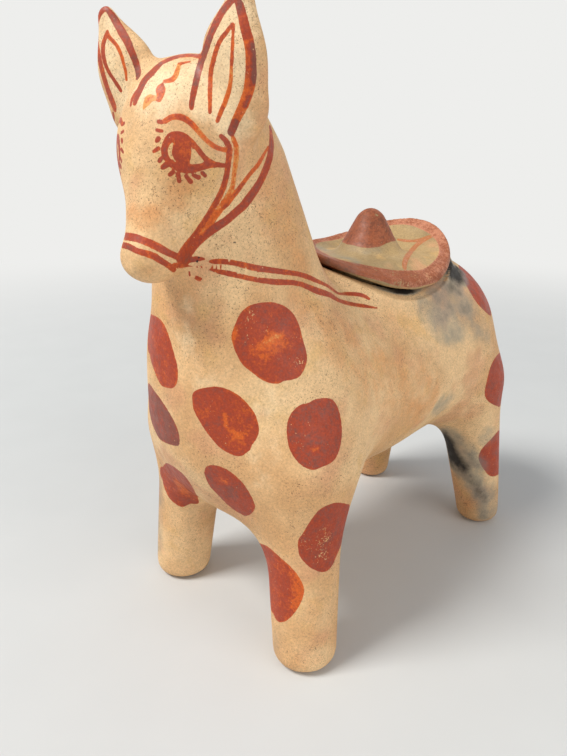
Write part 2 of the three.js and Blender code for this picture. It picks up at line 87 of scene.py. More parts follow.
# Clay body
CHEST = ([0, -62, 124], [59.5, 49.5, 63.5])  # centre and radii
BELLY = ([0, 9.5, 126], [56, 107, 56.5])
RUMP = ([0, 81.5, 136], [54.5, 49.5, 53.5])
BARREL_BLEND = 29.5
WALL = 7
NECK_BASE = ([0, -66.5, 164], 47)  # centre and radius
NECK_TOP = ([0, -79, 235.5], 31.5)
NECK_SQUEEZE = 0.92
NECK_BLEND = 18.5
NECK_HOLLOW_TOP = 226

HEAD_TURN = 11
HEAD_TURN_Y = -76.5
POLL = ([0, -94.5, 252.5], 31)
MUZZLE = ([0, -117, 220.5], 15.5)
HEAD_SQUEEZE = 0.92
BROW = ([0, -103.5, 245.5], [26.45, 23, 23])
NOSE = ([0, -124.5, 206], [12.5, 13, 10.5])
BROW_BLEND = 10
NOSE_BLEND = 8
HEAD_BLEND = 8

EAR_ROOT = ([25.5, -101.5, 264.5], 16)
EAR_MIDDLE = ([28.5, -104.5, 278.5], 12.5)
EAR_TIP = ([36.5, -108.5, 301], 3.5)
RIGHT_EAR_MIDDLE = ([28.5, -104.5, 278], 13)
RIGHT_EAR_TIP = ([33.5, -108.5, 297], 4.8)
EAR_FLATNESS = 0.48
EAR_YAW = -3.5
EAR_BLEND = 4
EAR_FILLET = 6

FRONT_FOOT = ([52.5, -75.5, 8.5], 16.5)
FRONT_LEG_TOP = ([44, -69, 99], 19.5)
REAR_FOOT = ([48.5, 112.5, 8.5], 14.5)
REAR_LEG_TOP = ([37, 101.5, 102], 21)
SOLE_TRIM = 0.6
SOLE_ROUNDING = 6
LEG_BLEND = 29

TAIL_TOP_Z = 168
TAIL_END_Z = 122
TAIL_TOP_RADIUS = 7
TAIL_END_RADIUS = 5
TAIL_PROUD = 4.5
TAIL_FILLET = 3

# Mouth, collar and lid
MOUTH = np.array([-1.5, 37])
MOUTH_RADII = np.array([28.5, 44.5])
COLLAR_WIDTH = 9
COLLAR_BLEND = 12
COLLAR_SEAT = 1.5
COLLAR_DEPTH = 30
LIP_ROUNDING = 3
SEAM = 0.3
BRIM_RADII = np.array([41, 58])
BRIM_THICKNESS = 6
BRIM_FLOOR_Z = 192
BRIM_FLAT_SHARE = 0.5
BRIM_EDGE_RISE = 12
BRIM_SIDE_DROOP = 14.8
BRIM_LEFT_DROOP = 9.1
BRIM_REAR_RISE = 4.1
BRIM_CURVE = 1.5
CROWN_HEIGHT = 26.5
CROWN_RADIUS = 20.5
CROWN_PLACE = MOUTH + np.array([-1.3, -1.3])
CROWN_BELL = [(0, 1), (0.11, 0.985), (0.22, 0.945), (0.36, 0.85), (0.48, 0.7), (0.58, 0.56),
              (0.69, 0.4), (0.84, 0.22), (1, 0.05), (1.25, -0.08)]  # shares of radius and height
CROWN_FILLET = 5
CROWN_SUNK = 5  # how far the crown's solid reaches down into the brim
BRIM_THINNING = 1.3  # how much less than half its thickness the brim is at its rim
BRIM_THIN_SHARE = 0.8
GROOVE_DEPTH = 4.0  # of the dark gap under the brim
GROOVE_SHARES = (0.66, 0.74, 0.8, 0.9)
LIP_REACH = 11  # from the mouth to the middle of the collar's outer lip
LIP_HALF_WIDTH = 2.2
LIP_DROP = 0.3  # of the lip's top below the brim, with more where the gap shows
GAP_DROP = 2.5
GAP_ANGLE = 108  # degrees from the tail's side toward the donkey's left
GAP_HALF_WIDTH = 27
GAP_PAST_RIM = 0.8  # how far the gap cuts the clay beyond the rim, as a share of its opening
LIP_BLEND = 5
BRIM_ROOM_ROUNDING = 1
FLANGE_GAP = 1.2
FLANGE_WIDTH = 5
FLANGE_BOTTOM_Z = 168
FLANGE_ROUNDING = 1
FLANGE_BLEND = 2

# Mesh sizes
BLOCK = 4  # grid points along a block
CLAY_CELL = 2.5
LID_CELL = 1.1
FINE_FLOOR_Z = 205  # the head and the top of the neck have faces half as wide as the rest
FINE_BACK_Y = -30
FINE_NEAR_STROKES = 0.5  # faces this near to a painted edge are split once more
FINE_RIM_SHARES = (0.7, 1.06)  # under the brim's rim the faces are half as wide too
FINE_RIM_DEPTH = 9
EDGE_ROOM = 1.5  # the last stretch to the CAD model's box, in which the surface is eased
EDGE_SHARE = 0.98

# Unevenness of the hand-smoothed clay
UNEVENNESS = 0.3
WAVE_COUNT = 7
SHORTEST_WAVE = 4.5
WAVE_GROWTH = 1.6
WAVE_SHIFT = 2.1
LID_WAVE_SCALE = 1.7

# Paint on the surface
FAR = 9.0  # paint distance where there is no paint near
STROKE_SPREAD = 0.6  # pixels added to each stroke's width
# How squarely the clay faces the camera where lines and spots start to be taken from the photograph,
# and where they are taken from it alone
DRAWN_FACING = (0.06, 0.2)
SPOT_FACING = (0.1, 0.3)
HIDDEN_FACING = 0.05
DRAWN_REACH = 7  # from a line's edge, how far the photograph says where the line ends
TURNED_AWAY = 0.3  # a line fades where the clay faces less than this the way it does under the line
TURNED_AWAY_FADE = 8
SPOT_MARGIN = 6
SPOT_STEPS = np.arange(15, 180, 15)  # degrees round the half oval that closes a spot
EGG_TAPER = 0.25
EGG_LOBES = 0.05
EGG_RIPPLES = 0.02
WEAR_AND_HIGHLIGHT_EDGE = 1.25  # in radii, where a worn place ends, and where the lid's painted highlight ends
# Painted shade in the groove and the gap under the brim
GROOVE_SHADE_DEPTHS = (1.2, 2.7)  # below the brim, where the groove's painted shade starts and where it is full
GROOVE_SHADE_FLOOR = 12
GROOVE_SHADE_THIN = 0.25  # share of the gap's painted shade that lies in the rest of the groove
GROOVE_SHADE_EDGE = 0.04
GLOW_SOFTNESS = 2
SMOKE_SOFTNESS = 13
LID_PAINTED_SHADE_SOFTNESS = 9
TINT_SOFTNESS = 16


# Vectors and distances; p is an array of points

def column(values):
    return np.asarray(values, float)


def length(v):
    return np.sqrt(np.einsum("...i,...i", v, v))


def unit(v):
    return v / (length(v)[..., None] + 1e-9)


def dot(a, b):
    """The dot product of each row with the same row of the other array."""
    return np.einsum("ij,ij->i", a, b)


def ramp(value, start, end):
    """From 0 at the start to 1 at the end, level beyond both."""
    return np.clip((value - start) / (end - start), 0, 1)


def smooth_union(a, b, blend):
    share = np.clip(0.5 + 0.5 * (b - a) / blend, 0, 1)
    return b * (1 - share) + a * share - blend * share * (1 - share)


def smooth_cut(a, b, blend):
    return -smooth_union(-a, -b, blend)


def ellipsoid(p, centre, radii):
    q = (p - column(centre)) / column(radii)
    near = length(q)
    return near * (near - 1) / (length(q / column(radii)) + 1e-9)


def round_cone(p, start, end, side=None, squeeze=1.0):
    (start, start_radius), (end, end_radius) = start, end
    axis = column(end) - column(start)
    size = length(axis)
    axis /= size
    q = p - column(start)
    if side is not None:
        square = side - side @ axis * axis
        flat = np.cross(axis, unit(square))
        q = q + (q @ flat * (1 / squeeze - 1))[:, None] * flat
    along = q @ axis
    out = np.sqrt(np.maximum(dot(q, q) - along**2, 0))
    taper = (end_radius - start_radius) / size
    share = np.clip((along + taper * out) / size, 0, 1)
    radius = start_radius + (end_radius - start_radius) * share
    return (np.hypot(out, along - share * size) - radius) * squeeze


def mirrored(p):
    return p * [-1, 1, 1]


def folded(p):
    return np.column_stack([np.abs(p[:, 0]), p[:, 1:]])


def turned(p, degrees):
    """Points turned about the vertical axis that the head turns about."""
    c, s = np.cos(np.radians(degrees)), np.sin(np.radians(degrees))
    x, y = p[:, 0], p[:, 1] - HEAD_TURN_Y
    return np.column_stack([c * x - s * y, s * x + c * y + HEAD_TURN_Y, p[:, 2]])


def oval(p, radii):
    """Distance from an upright oval tube round the mouth's axis."""
    q = (p[:, :2] - MOUTH) / radii
    share = length(q) + 1e-9
    return (share - 1) / (length(q / radii) / share + 1e-9)


# The donkey's form

FORE_AFT = column([0, 1, 0])
EAR_SIDE = column([np.cos(np.radians(EAR_YAW)), np.sin(np.radians(EAR_YAW)), 0])


def core_distance(p):
    barrel = smooth_union(ellipsoid(p, *CHEST), ellipsoid(p, *BELLY), BARREL_BLEND)
    barrel = smooth_union(barrel, ellipsoid(p, *RUMP), BARREL_BLEND)
    neck = round_cone(p, NECK_BASE, NECK_TOP, FORE_AFT, NECK_SQUEEZE)
    return smooth_union(barrel, neck, NECK_BLEND)


def leg_distance(p):
    q = folded(p)
    front = round_cone(q, FRONT_FOOT, FRONT_LEG_TOP)
    rear = round_cone(q, REAR_FOOT, REAR_LEG_TOP)
    return smooth_cut(np.minimum(front, rear), -p[:, 2] - SOLE_TRIM, SOLE_ROUNDING)


def head_distance(p):
    q = turned(p, -HEAD_TURN)
    skull = round_cone(q, POLL, MUZZLE, FORE_AFT, HEAD_SQUEEZE)
    head = smooth_union(skull, ellipsoid(q, *BROW), BROW_BLEND)
    return smooth_union(head, ellipsoid(q, *NOSE), NOSE_BLEND)


def ear_leaf(q, middle, tip):
    lower = round_cone(q, EAR_ROOT, middle, EAR_SIDE, EAR_FLATNESS)
    upper = round_cone(q, middle, tip, EAR_SIDE, EAR_FLATNESS)
    return smooth_union(lower, upper, EAR_BLEND)


def ear_distance(p):
    q = turned(p, -HEAD_TURN)
    ears = ear_leaf(folded(q), EAR_MIDDLE, EAR_TIP)
    right = q[:, 0] < 0
    ears[right] = ear_leaf(folded(q[right]), RIGHT_EAR_MIDDLE, RIGHT_EAR_TIP)
    return ears


def rim_share(p):
    """How far out points lie from the mouth's axis, where 1 is the brim's rim."""
    return length((p[:, :2] - MOUTH) / BRIM_RADII)


def brim_middle(x, y):
    across, along = (x - MOUTH[0]) / BRIM_RADII[0], (y - MOUTH[1]) / BRIM_RADII[1]
    share = np.hypot(across, along) + 1e-9
    c, s = across / share, along / share
    edge = BRIM_EDGE_RISE - BRIM_SIDE_DROOP * c * c - BRIM_LEFT_DROOP * c + BRIM_REAR_RISE * s
    bend = (np.clip(share - BRIM_FLAT_SHARE, 0, None) / (1 - BRIM_FLAT_SHARE)) ** BRIM_CURVE
    return BRIM_FLOOR_Z - BRIM_THICKNESS / 2 + edge * bend


def underside(x, y):
    """Height of the brim's underside, and beyond the rim its height at the rim."""
    share = np.maximum(np.hypot((x - MOUTH[0]) / BRIM_RADII[0], (y - MOUTH[1]) / BRIM_RADII[1]), 1)
    x, y = MOUTH[0] + (x - MOUTH[0]) / share, MOUTH[1] + (y - MOUTH[1]) / share
    return brim_middle(x, y) - BRIM_THICKNESS / 2


def gap_opening(p):
    """How far the lip drops further from the brim where the gap shows."""
    across, along = ((p[:, :2] - MOUTH) / BRIM_RADII).T
    angle = np.degrees(np.arctan2(across, along))
    return GAP_DROP * np.exp(-((angle - GAP_ANGLE) / GAP_HALF_WIDTH) ** 2)


def ring_distance(p, radii, half_width, drop):
    """A band of clay round the mouth with a round top, which lies a drop below the brim."""
    q = p[:, :2] - MOUTH
    share = length(q / radii) + 1e-9
    line = MOUTH + q / share[:, None]
    top = underside(line[:, 0], line[:, 1]) - drop - half_width
    above = np.maximum(np.maximum(p[:, 2] - top, top - COLLAR_DEPTH - p[:, 2]), 0)
    return np.hypot(oval(p, radii), above) - half_width


def collar_distance(p):
    return ring_distance(p, MOUTH_RADII + COLLAR_WIDTH / 2, COLLAR_WIDTH / 2, -COLLAR_SEAT)


def waves(p):
    """Slow waves of hand-smoothed clay, from -1 to 1."""
    directions = unit(np.random.default_rng(5).normal(size=(WAVE_COUNT, 3)))
    total = np.zeros(len(p))
    for n, direction in enumerate(directions):
        total += np.sin(p @ direction / (SHORTEST_WAVE + WAVE_GROWTH * n) + WAVE_SHIFT * n)
    return total / len(directions)


def outer_distance(p, core):
    """The donkey's outer skin, without its mouth, ears and tail."""
    body = smooth_union(core, leg_distance(p), LEG_BLEND)
    body = smooth_union(body, collar_distance(p), COLLAR_BLEND)
    lip = ring_distance(p, MOUTH_RADII + LIP_REACH, LIP_HALF_WIDTH, LIP_DROP + gap_opening(p))
    body = smooth_union(body, lip, LIP_BLEND)
    return smooth_union(body, head_distance(p), HEAD_BLEND)


def tail_distance(p, skin):
    z = p[:, 2]
    radius = TAIL_END_RADIUS + (TAIL_TOP_RADIUS - TAIL_END_RADIUS) * ramp(z, TAIL_END_Z, TAIL_TOP_Z)
    beyond = np.maximum(np.maximum(z - TAIL_TOP_Z, TAIL_END_Z - z), 0)
    roll = np.sqrt(p[:, 0] ** 2 + (skin + radius - TAIL_PROUD) ** 2 + beyond**2) - radius
    return np.where(p[:, 1] > RUMP[0][1], roll, FAR)


def brim_room(p):
    """Negative in the room that the brim takes and above it, and in the dark groove under it."""
    share = rim_share(p)
    a, b, c, d = GROOVE_SHARES
    outward = ramp(share, a, b)
    opening = gap_opening(p)
    drop = np.maximum(GROOVE_DEPTH * outward * ramp(share, d, c), opening * outward)
    floor = underside(p[:, 0], p[:, 1]) - SEAM - drop
    return np.maximum(floor - p[:, 2], oval(p, BRIM_RADII + 2 * SEAM) - GAP_PAST_RIM * opening)


def clay_distance(p):
    """The whole donkey: skin, ears, tail, hollow and mouth."""
    core = core_distance(p)
    skin = outer_distance(p, core) + UNEVENNESS * waves(p)
    clay = smooth_union(skin, tail_distance(p, skin), TAIL_FILLET)
    clay = smooth_union(clay, ear_distance(p), EAR_FILLET)
    hollow = np.maximum(core + WALL, p[:, 2] - NECK_HOLLOW_TOP)
    mouth = np.maximum(oval(p, MOUTH_RADII), BELLY[0][2] - p[:, 2])
    clay = smooth_cut(clay, -smooth_union(hollow, mouth, LIP_ROUNDING), LIP_ROUNDING)
    return smooth_cut(clay, -brim_room(p), BRIM_ROOM_ROUNDING)


# The lid's form

def smooth_curve(points, pieces=5):
    """Catmull-Rom curve through points, as an array with the points' own columns."""
    points = column(points)
    padded = np.vstack([2 * points[0] - points[1], points, 2 * points[-1] - points[-2]])
    steps = np.arange(pieces)[:, None] / pieces
    parts = []
    for a, b, c, d in zip(padded, padded[1:], padded[2:], padded[3:]):
        parts.append(0.5 * (2 * b + (c - a) * steps + (2 * a - 5 * b + 4 * c - d) * steps**2
                            + (3 * b - a - 3 * c + d) * steps**3))
    return np.vstack(parts + [points[-1:]])


def segment_distance(p, a, b):
    """Distance from points to a segment, and how far along it the nearest place lies, from 0 to 1."""
    line = b - a
    share = np.clip((p - a) @ line / max(line @ line, 1e-12), 0, 1)
    return length(p - a - share[:, None] * line), share


def crown_distance(p):
    """Distance from the crown's bell, worked out in the plane of radius and height."""
    bell = smooth_curve(CROWN_BELL) * [CROWN_RADIUS, CROWN_HEIGHT] + [0, BRIM_FLOOR_Z]
    flat = np.column_stack([length(p[:, :2] - CROWN_PLACE), p[:, 2]])
    away = np.min([segment_distance(flat, a, b)[0] for a, b in zip(bell, bell[1:])], axis=0)
    top = np.interp(flat[:, 0], bell[:, 0], bell[:, 1])
    outside = (flat[:, 1] > top) | (flat[:, 0] > bell[-1, 0])
    return np.maximum(np.where(outside, away, -away), BRIM_FLOOR_Z - CROWN_SUNK - p[:, 2])


def brim_distance(p):
    x, y = p[:, 0], p[:, 1]
    step = 0.5
    slope_x = (brim_middle(x + step, y) - brim_middle(x - step, y)) / (2 * step)
    slope_y = (brim_middle(x, y + step) - brim_middle(x, y - step)) / (2 * step)
    thinning = BRIM_THINNING * ramp(rim_share(p), BRIM_THIN_SHARE, 1)
    off = (p[:, 2] - brim_middle(x, y)) / np.sqrt(1 + slope_x**2 + slope_y**2) - thinning
    half = BRIM_THICKNESS / 2 - thinning
    rim = oval(p, BRIM_RADII - BRIM_THICKNESS / 2 + BRIM_THINNING)
    return np.hypot(np.maximum(rim, 0), off) - half


def flange_distance(p):
    middle = MOUTH_RADII - FLANGE_GAP - FLANGE_WIDTH / 2
    across = np.abs(oval(p, middle)) - FLANGE_WIDTH / 2 + FLANGE_ROUNDING
    low, high = FLANGE_BOTTOM_Z + FLANGE_ROUNDING, BRIM_FLOOR_Z - BRIM_THICKNESS / 2
    beyond = np.maximum(low - p[:, 2], p[:, 2] - high)
    outside = np.hypot(np.maximum(across, 0), np.maximum(beyond, 0))
    return outside + np.minimum(np.maximum(across, beyond), 0) - FLANGE_ROUNDING


def lid_distance(p):
    lid = smooth_union(brim_distance(p), crown_distance(p), CROWN_FILLET)
    lid += UNEVENNESS * waves(p * LID_WAVE_SCALE)
    return smooth_union(lid, flange_distance(p), FLANGE_BLEND)


# Meshing

def slopes(distance, p):
    step = 0.05
    shifts = step * np.eye(3)
    return np.column_stack([(distance(p + s) - distance(p - s)) / (2 * step) for s in shifts])


def settle(distance, p, turns=3):
    """Moves points onto the surface."""
    for _ in range(turns):
        slope = slopes(distance, p)
        steep = np.maximum(dot(slope, slope), 0.1)
        move = np.clip(distance(p) / steep, -1, 1)
        p = p - move[:, None] * slope
    return p


def grid(axes):
    return np.stack(np.meshgrid(*axes, indexing="ij"), -1).reshape(-1, 3)


def grid_values(distance, axes, cell):
    """Distances at a grid's points. Away from the surface, a block of points shares its middle's."""
    block = BLOCK
    middles = [axis.reshape(-1, block).mean(1) for axis in axes]
    values = distance(grid(middles)).reshape([len(axis) for axis in middles])
    for n in range(3):
        values = np.repeat(values, block, axis=n)
    near = np.argwhere(np.abs(values) < 1.5 * block * cell)
    places = column([axis[0] for axis in axes]) + cell * near
    values[tuple(near.T)] = distance(places)
    return values


def surface_net(distance, low, high, cell):
    """Quads where a distance changes sign: one vertex in each cell of a grid that the surface crosses."""
    counts = [int(np.ceil((b - a) / cell / BLOCK + 1)) * BLOCK for a, b in zip(low, high)]
    axes = [a - 1.5 * cell + cell * np.arange(count) for a, count in zip(low, counts)]
    values = grid_values(distance, axes, cell)
    cells = np.array(values.shape) - 1
    total = np.zeros((cells.prod(), 3))
    count = np.zeros(cells.prod())
    rings = []
    for axis in range(3):
        near = np.take(values, range(cells[axis]), axis)
        far = np.take(values, range(1, cells[axis] + 1), axis)
        index = np.argwhere((near < 0) != (far < 0))
        a, b = near[tuple(index.T)], far[tuple(index.T)]
        place = index.astype(float)
        place[:, axis] += a / (a - b)
        ring = []
        for u, v in ((0, 0), (-1, 0), (-1, -1), (0, -1)):
            cell_index = index.copy()
            cell_index[:, (axis + 1) % 3] += u
            cell_index[:, (axis + 2) % 3] += v
            ring.append(np.ravel_multi_index(cell_index.T, cells))
            np.add.at(total, ring[-1], place)
            np.add.at(count, ring[-1], 1)
        ring = np.column_stack(ring)
        rings.append(np.where((a < 0)[:, None], ring, ring[:, ::-1]))
    used = np.flatnonzero(count)
    number = np.full(len(count), -1)
    number[used] = np.arange(len(used))
    points = column([axis[0] for axis in axes]) + cell * total[used] / count[used][:, None]
    return settle(distance, points), number[np.vstack(rings)]


def even_out(distance, points, faces, rounds=3):
    """Slides vertices along the surface towards the middle of their neighbours."""
    pairs = np.vstack([faces[:, [n, (n + 1) % 4]] for n in range(4)])
    a, b = np.concatenate([pairs[:, 0], pairs[:, 1]]), np.concatenate([pairs[:, 1], pairs[:, 0]])
    weight = np.bincount(a, minlength=len(points))[:, None]
    for _ in range(rounds):
        middle = np.column_stack([np.bincount(a, points[b, n], len(points)) for n in range(3)]) / weight
        out = unit(slopes(distance, points))
        move = 0.5 * (middle - points)
        points = settle(distance, points + move - dot(move, out)[:, None] * out, 1)
    return settle(distance, points, 1)


def eased(past):
    """How far a point comes back, by how far past the start of the last stretch it lies."""
    return past - EDGE_ROOM * EDGE_SHARE * (1 - np.exp(-past / EDGE_ROOM))


def kept_in_cad_box(points):
    """Eases the outermost tenths of a millimetre inside the CAD model's box."""
    low, high = CAD_BOX
    points = points - eased(np.maximum(points - (high - EDGE_ROOM), 0))
    return points + eased(np.maximum(low + EDGE_ROOM - points, 0))


def set_points(mesh, points):
    mesh.vertices.foreach_set("co", (points * MM).ravel())
    mesh.update()


def points_of(mesh):
    flat = np.empty(3 * len(mesh.vertices))
    mesh.vertices.foreach_get("co", flat)
    return flat.reshape(-1, 3) / MM


def refine(mesh, chosen, distance):
    """Splits the chosen faces in four, onto the surface."""
    bm = bmesh.new()
    bm.from_mesh(mesh)
    edges = {edge for face, split in zip(bm.faces, chosen) if split for edge in face.edges}
    bmesh.ops.subdivide_edges(bm, edges=list(edges), cuts=1, use_grid_fill=True)
    bm.to_mesh(mesh)
    bm.free()
    set_points(mesh, settle(distance, points_of(mesh), 2))


def lowest_on_faces(mesh, values):
    """The lowest of a vertex value on each face."""
    corners = np.empty(len(mesh.loops), int)
    starts = np.empty(len(mesh.polygons), int)
    mesh.loops.foreach_get("vertex_index", corners)
    mesh.polygons.foreach_get("loop_start", starts)
    return np.minimum.reduceat(values[corners], starts)


def clay_mesh(name, distance, low, high, cell):
    points, faces = surface_net(distance, low, high, cell)
    points = even_out(distance, points, faces)
    mesh = bpy.data.meshes.new(name)
    mesh.from_pydata((points * MM).tolist(), [], faces.tolist())
    return mesh


def put_in_scene(made):
    bpy.context.scene.collection.objects.link(made)
    return made


def show(name, mesh):
    mesh.shade_smooth()
    return put_in_scene(bpy.data.objects.new(name, mesh))


# The photograph's camera

def camera_axes():
    azimuth, pitch, roll = np.radians([CAMERA_AZIMUTH, CAMERA_PITCH, CAMERA_ROLL])
    ahead = column([-np.sin(azimuth) * np.cos(pitch), np.cos(azimuth) * np.cos(pitch), -np.sin(pitch)])
    level = column([np.cos(azimuth), np.sin(azimuth), 0])
    upright = np.cross(level, ahead)
    right = np.cos(roll) * level + np.sin(roll) * upright
    return right, np.cos(roll) * upright - np.sin(roll) * level, ahead


RIGHT, UP, AHEAD = camera_axes()


def photo_place(p):
    """Where points show in the photograph, in pixels."""
    v = p - CAMERA_PLACE
    depth = v @ AHEAD
    x = PHOTO_WIDTH / 2 + FOCAL_PIXELS * (v @ RIGHT) / depth
    return np.column_stack([x, PHOTO_HEIGHT / 2 - FOCAL_PIXELS * (v @ UP) / depth])


def on_clay(pixels, distance):
    """Points of a surface that show at these pixels. Just off the outline, the nearest point is taken."""
    pixels = column(pixels)
    rays = (((pixels[:, :1] - PHOTO_WIDTH / 2) * RIGHT - (pixels[:, 1:2] - PHOTO_HEIGHT / 2) * UP)
            / FOCAL_PIXELS + AHEAD)
    rays = unit(rays)
    reach = np.full(len(rays), float(RAY_START))
    nearest, nearest_reach = np.full(len(rays), np.inf), reach.copy()
    for _ in range(RAY_STEPS):
        away = distance(CAMERA_PLACE + rays * reach[:, None])
        closer = away < nearest
        nearest = np.where(closer, away, nearest)
        nearest_reach = np.where(closer, reach, nearest_reach)
        reach = reach + np.where(away > 0.01, RAY_STRIDE * away, 0)
    return settle(distance, CAMERA_PLACE + rays * nearest_reach[:, None], 4)


def pixel_size(p):
    """Millimetres that a pixel spans at these points."""
    return (p - CAMERA_PLACE) @ AHEAD / FOCAL_PIXELS


def facing_camera(points, normals):
    """How squarely a surface faces the camera: 1 head on, 0 at its outline, negative behind it."""
    return -dot(normals, unit(points - CAMERA_PLACE))


# Paint tones run from -1, purple-brown, through red and orange to 2, ochre
RED, ORANGE = 0.0, 1.0

# Brush strokes: tone, then x, y and width in pixels along each
REIN_STROKES = [
    (RED, [(210, 261.5, 2), (214, 261.5, 4.5), (222, 261.5, 5), (232, 262.5, 5), (243, 265, 5.5),
           (256, 268, 6), (270, 270, 5.5), (284, 272, 5), (298, 274, 4.5), (308, 277, 4.5),
           (318, 281.5, 3.5), (327, 285.5, 2.5), (334, 290.5, 2), (339, 293.5, 2), (346, 293.8, 3),
           (354, 294, 3.5), (361, 295, 3.5), (366, 297, 3), (369, 299, 2)]),
    (RED, [(190, 266, 1), (200, 267, 1.8), (210, 269, 2), (216, 271, 3.5), (226, 273, 5), (238, 275.5, 5),
           (250, 278.5, 4.5), (262, 280.5, 5), (276, 282, 5.5), (290, 282.5, 5), (300, 284, 4.5),
           (308, 287, 5), (316, 290.5, 6), (324, 293, 5.5), (330, 295, 4.5), (337, 299.5, 3),
           (345, 302.5, 3.5), (354, 304.5, 3.2), (364, 306, 3), (377, 308, 1)]),
]
BRIDLE_STROKES = [
    (RED, [(221, 136, 4), (226, 141, 5), (229, 148, 5.5), (229, 156, 5.5), (228, 165, 5), (226.5, 175, 5),
           (224, 185, 5.5), (220, 195, 5.5), (214, 206, 5.5), (206, 219, 5.5), (197, 233, 6),
           (190, 242, 6.5), (184, 250, 7), (180, 258, 7)]),
    (-0.2, [(270, 126, 1.5), (271, 133, 2.5), (271.5, 142, 4), (271, 150, 5), (269, 160, 6),
            (265.5, 170, 6.5), (262, 178, 6.5), (257, 187, 7), (250, 197, 8), (243, 206, 8),
            (235, 213, 7.5), (227, 220, 7.5), (218, 226, 8), (209, 232, 8.5), (200, 239, 9),
            (193, 246, 9.5), (187, 254, 10), (183, 260, 10)]),
    (0.35, [(268, 147, 1.5), (262, 158, 3), (257, 166, 3.5), (250, 174, 3.5), (244, 182, 3.5),
            (238, 190, 4.5), (232, 197, 5), (227, 203, 6), (222, 208, 5)]),
    (ORANGE, [(233, 138, 4), (236, 146, 4.5), (236.5, 155, 4.5), (235.5, 165, 4.5), (234, 175, 4),
              (233, 184, 4), (230.5, 192, 5), (226, 200, 6), (221, 208, 6.5), (215, 216, 6.5),
              (209, 224, 6.5), (204, 230, 5), (199, 237, 3), (197, 240, 1.5)]),
    (-0.5, [(181, 259, 9), (186, 259, 9), (192, 259.5, 5.5), (198, 258.8, 4.5), (204, 259, 2)]),
    (RED, [(175, 265, 4), (181, 266, 4), (188, 265.5, 2)]),
    (RED, [(196, 277.5, 3.5), (200, 279.5, 4)]),
    (RED, [(189.4, 272, 1.3), (189.8, 275.5, 1.6)]),
]
NOSEBAND_STROKES = [
    (-0.3, [(125.8, 236.2, 7.5), (134.5, 237.5, 7.5), (143.1, 240.5, 7), (151.7, 244, 7.5)]),
    (RED, [(151.7, 244, 7.5), (160.3, 248.3, 7.5), (168.9, 253, 6.5), (178, 257, 6)]),
    (-0.4, [(123.3, 245.2, 6), (129.3, 247, 6), (137, 250.8, 5.5), (144.8, 253, 6)]),
    (RED, [(144.8, 253, 6), (153.4, 256, 6.5), (160.3, 260.3, 6), (167.2, 264.6, 5.5), (173.5, 269.5, 5.5)]),
]
EYE_STROKES = [
    (0.2, [(165, 121, 5), (172.6, 117, 5.5), (181.5, 117.2, 6), (189.2, 121.7, 5.5), (196.8, 129.3, 5)]),
    (0.8, [(196.8, 129.3, 5), (205.8, 139.5, 4.5), (214.7, 146.6, 4.5), (225.5, 150.4, 4)]),
    (-0.3, [(158.8, 121.5, 4), (161.5, 122, 4)]),
    (-0.2, [(157, 130, 3.5), (162, 131, 3)]),
    (-0.2, [(157, 140.5, 4.5), (158.5, 138.5, 4.5)]),
    (-0.2, [(153.8, 151.5, 3), (158, 148.5, 4)]),
    (-0.5, [(159.5, 161, 4), (161, 158.5, 4)]),
    (-0.3, [(163, 167, 5), (166, 165, 6)]),
    (-0.3, [(170, 174.5, 4), (173, 172, 4.5)]),
    (-0.3, [(178, 174, 4.5), (179.3, 181, 4)]),
    (-0.2, [(186, 176, 3.5), (190.5, 181.5, 4.5)]),
    (-0.4, [(193.5, 175, 3.5), (198.5, 177.5, 4.5)]),
    (-0.6, [(202.5, 173, 4), (205, 175.5, 3.5)]),
]
EYE_TONE = -0.1
EYE_OUTLINE = [(160.7, 148.5), (165, 137), (172.6, 131.3), (184, 132.5), (193, 139.5), (200.7, 148.5),
               (207, 156), (214.7, 161.2), (226, 163.8), (226, 167.6), (214.7, 167.6), (207, 168.9),
               (199.4, 171.4), (189.2, 173.3), (181.5, 172.7), (171.3, 168.2), (166.2, 162.5), (161.8, 156)]
EYE_GLINT = [(174.5, 141.5, 1), (170.8, 146.5, 3), (169.8, 152.5, 3.4), (171.5, 157.5, 2.6), (175, 161.5, 1)]
EYE_WHITE = [(191.7, 146), (196.8, 152.3), (203.5, 160.5), (202.6, 163), (196.8, 163.8), (190, 163.8),
             (190.9, 157.4), (191.2, 151)]
IRIS_GLOW = [(0.25, [(184, 144, 10), (185, 150, 16), (183, 158, 12)])]

LEFT_EAR_STROKES = [
    (-0.7, [(236, -4, 5), (229, 3, 6.5), (222, 12, 6.5)]),
    (-0.4, [(222, 12, 6.5), (216, 23, 6.5), (210.5, 35, 6)]),
    (-0.8, [(210.5, 35, 6), (205.3, 50, 6), (201.2, 62, 6), (197.8, 74, 6), (195, 86, 6)]),
    (-0.3, [(195, 86, 6), (193, 96, 5.5), (191.7, 103, 5), (191.5, 108, 4)]),
    (0.1, [(232.5, 24, 3), (226.5, 32, 4), (220.5, 40, 4.2), (216.5, 49, 4.2), (213.5, 60, 4.2),
           (211, 71, 4.2), (210.3, 82, 4), (210, 92, 4), (210, 103, 3.5), (210, 112, 3.5)]),
    (0.4, [(233.5, 25, 3), (233, 34, 2.5), (232.5, 45, 3), (232, 56, 3), (231.3, 67, 3)]),
    (1.0, [(231.3, 67, 3), (231, 78, 3.5), (229.5, 88, 4), (227, 97, 4.5), (223.5, 106, 4.5)]),
    (0.2, [(223.5, 106, 4.5), (220, 114, 4), (217.5, 121, 3.5)]),
    (-0.8, [(236, -3, 6), (239.5, 5, 8), (242, 14, 8.5)]),
    (0.0, [(242, 14, 8.5), (245, 27, 9.5), (248.3, 39, 10)]),
    (0.5, [(248.3, 39, 10), (250.5, 52, 10), (251, 64, 10.5), (250.8, 77, 11), (248.8, 90, 10.5)]),
    (0.9, [(248.8, 90, 10.5), (244.8, 102, 10), (240.5, 111, 9), (236.5, 119, 8.5)]),
    (-0.6, [(236.5, 119, 8), (233.5, 126, 8), (231.3, 132, 7.5)]),
]
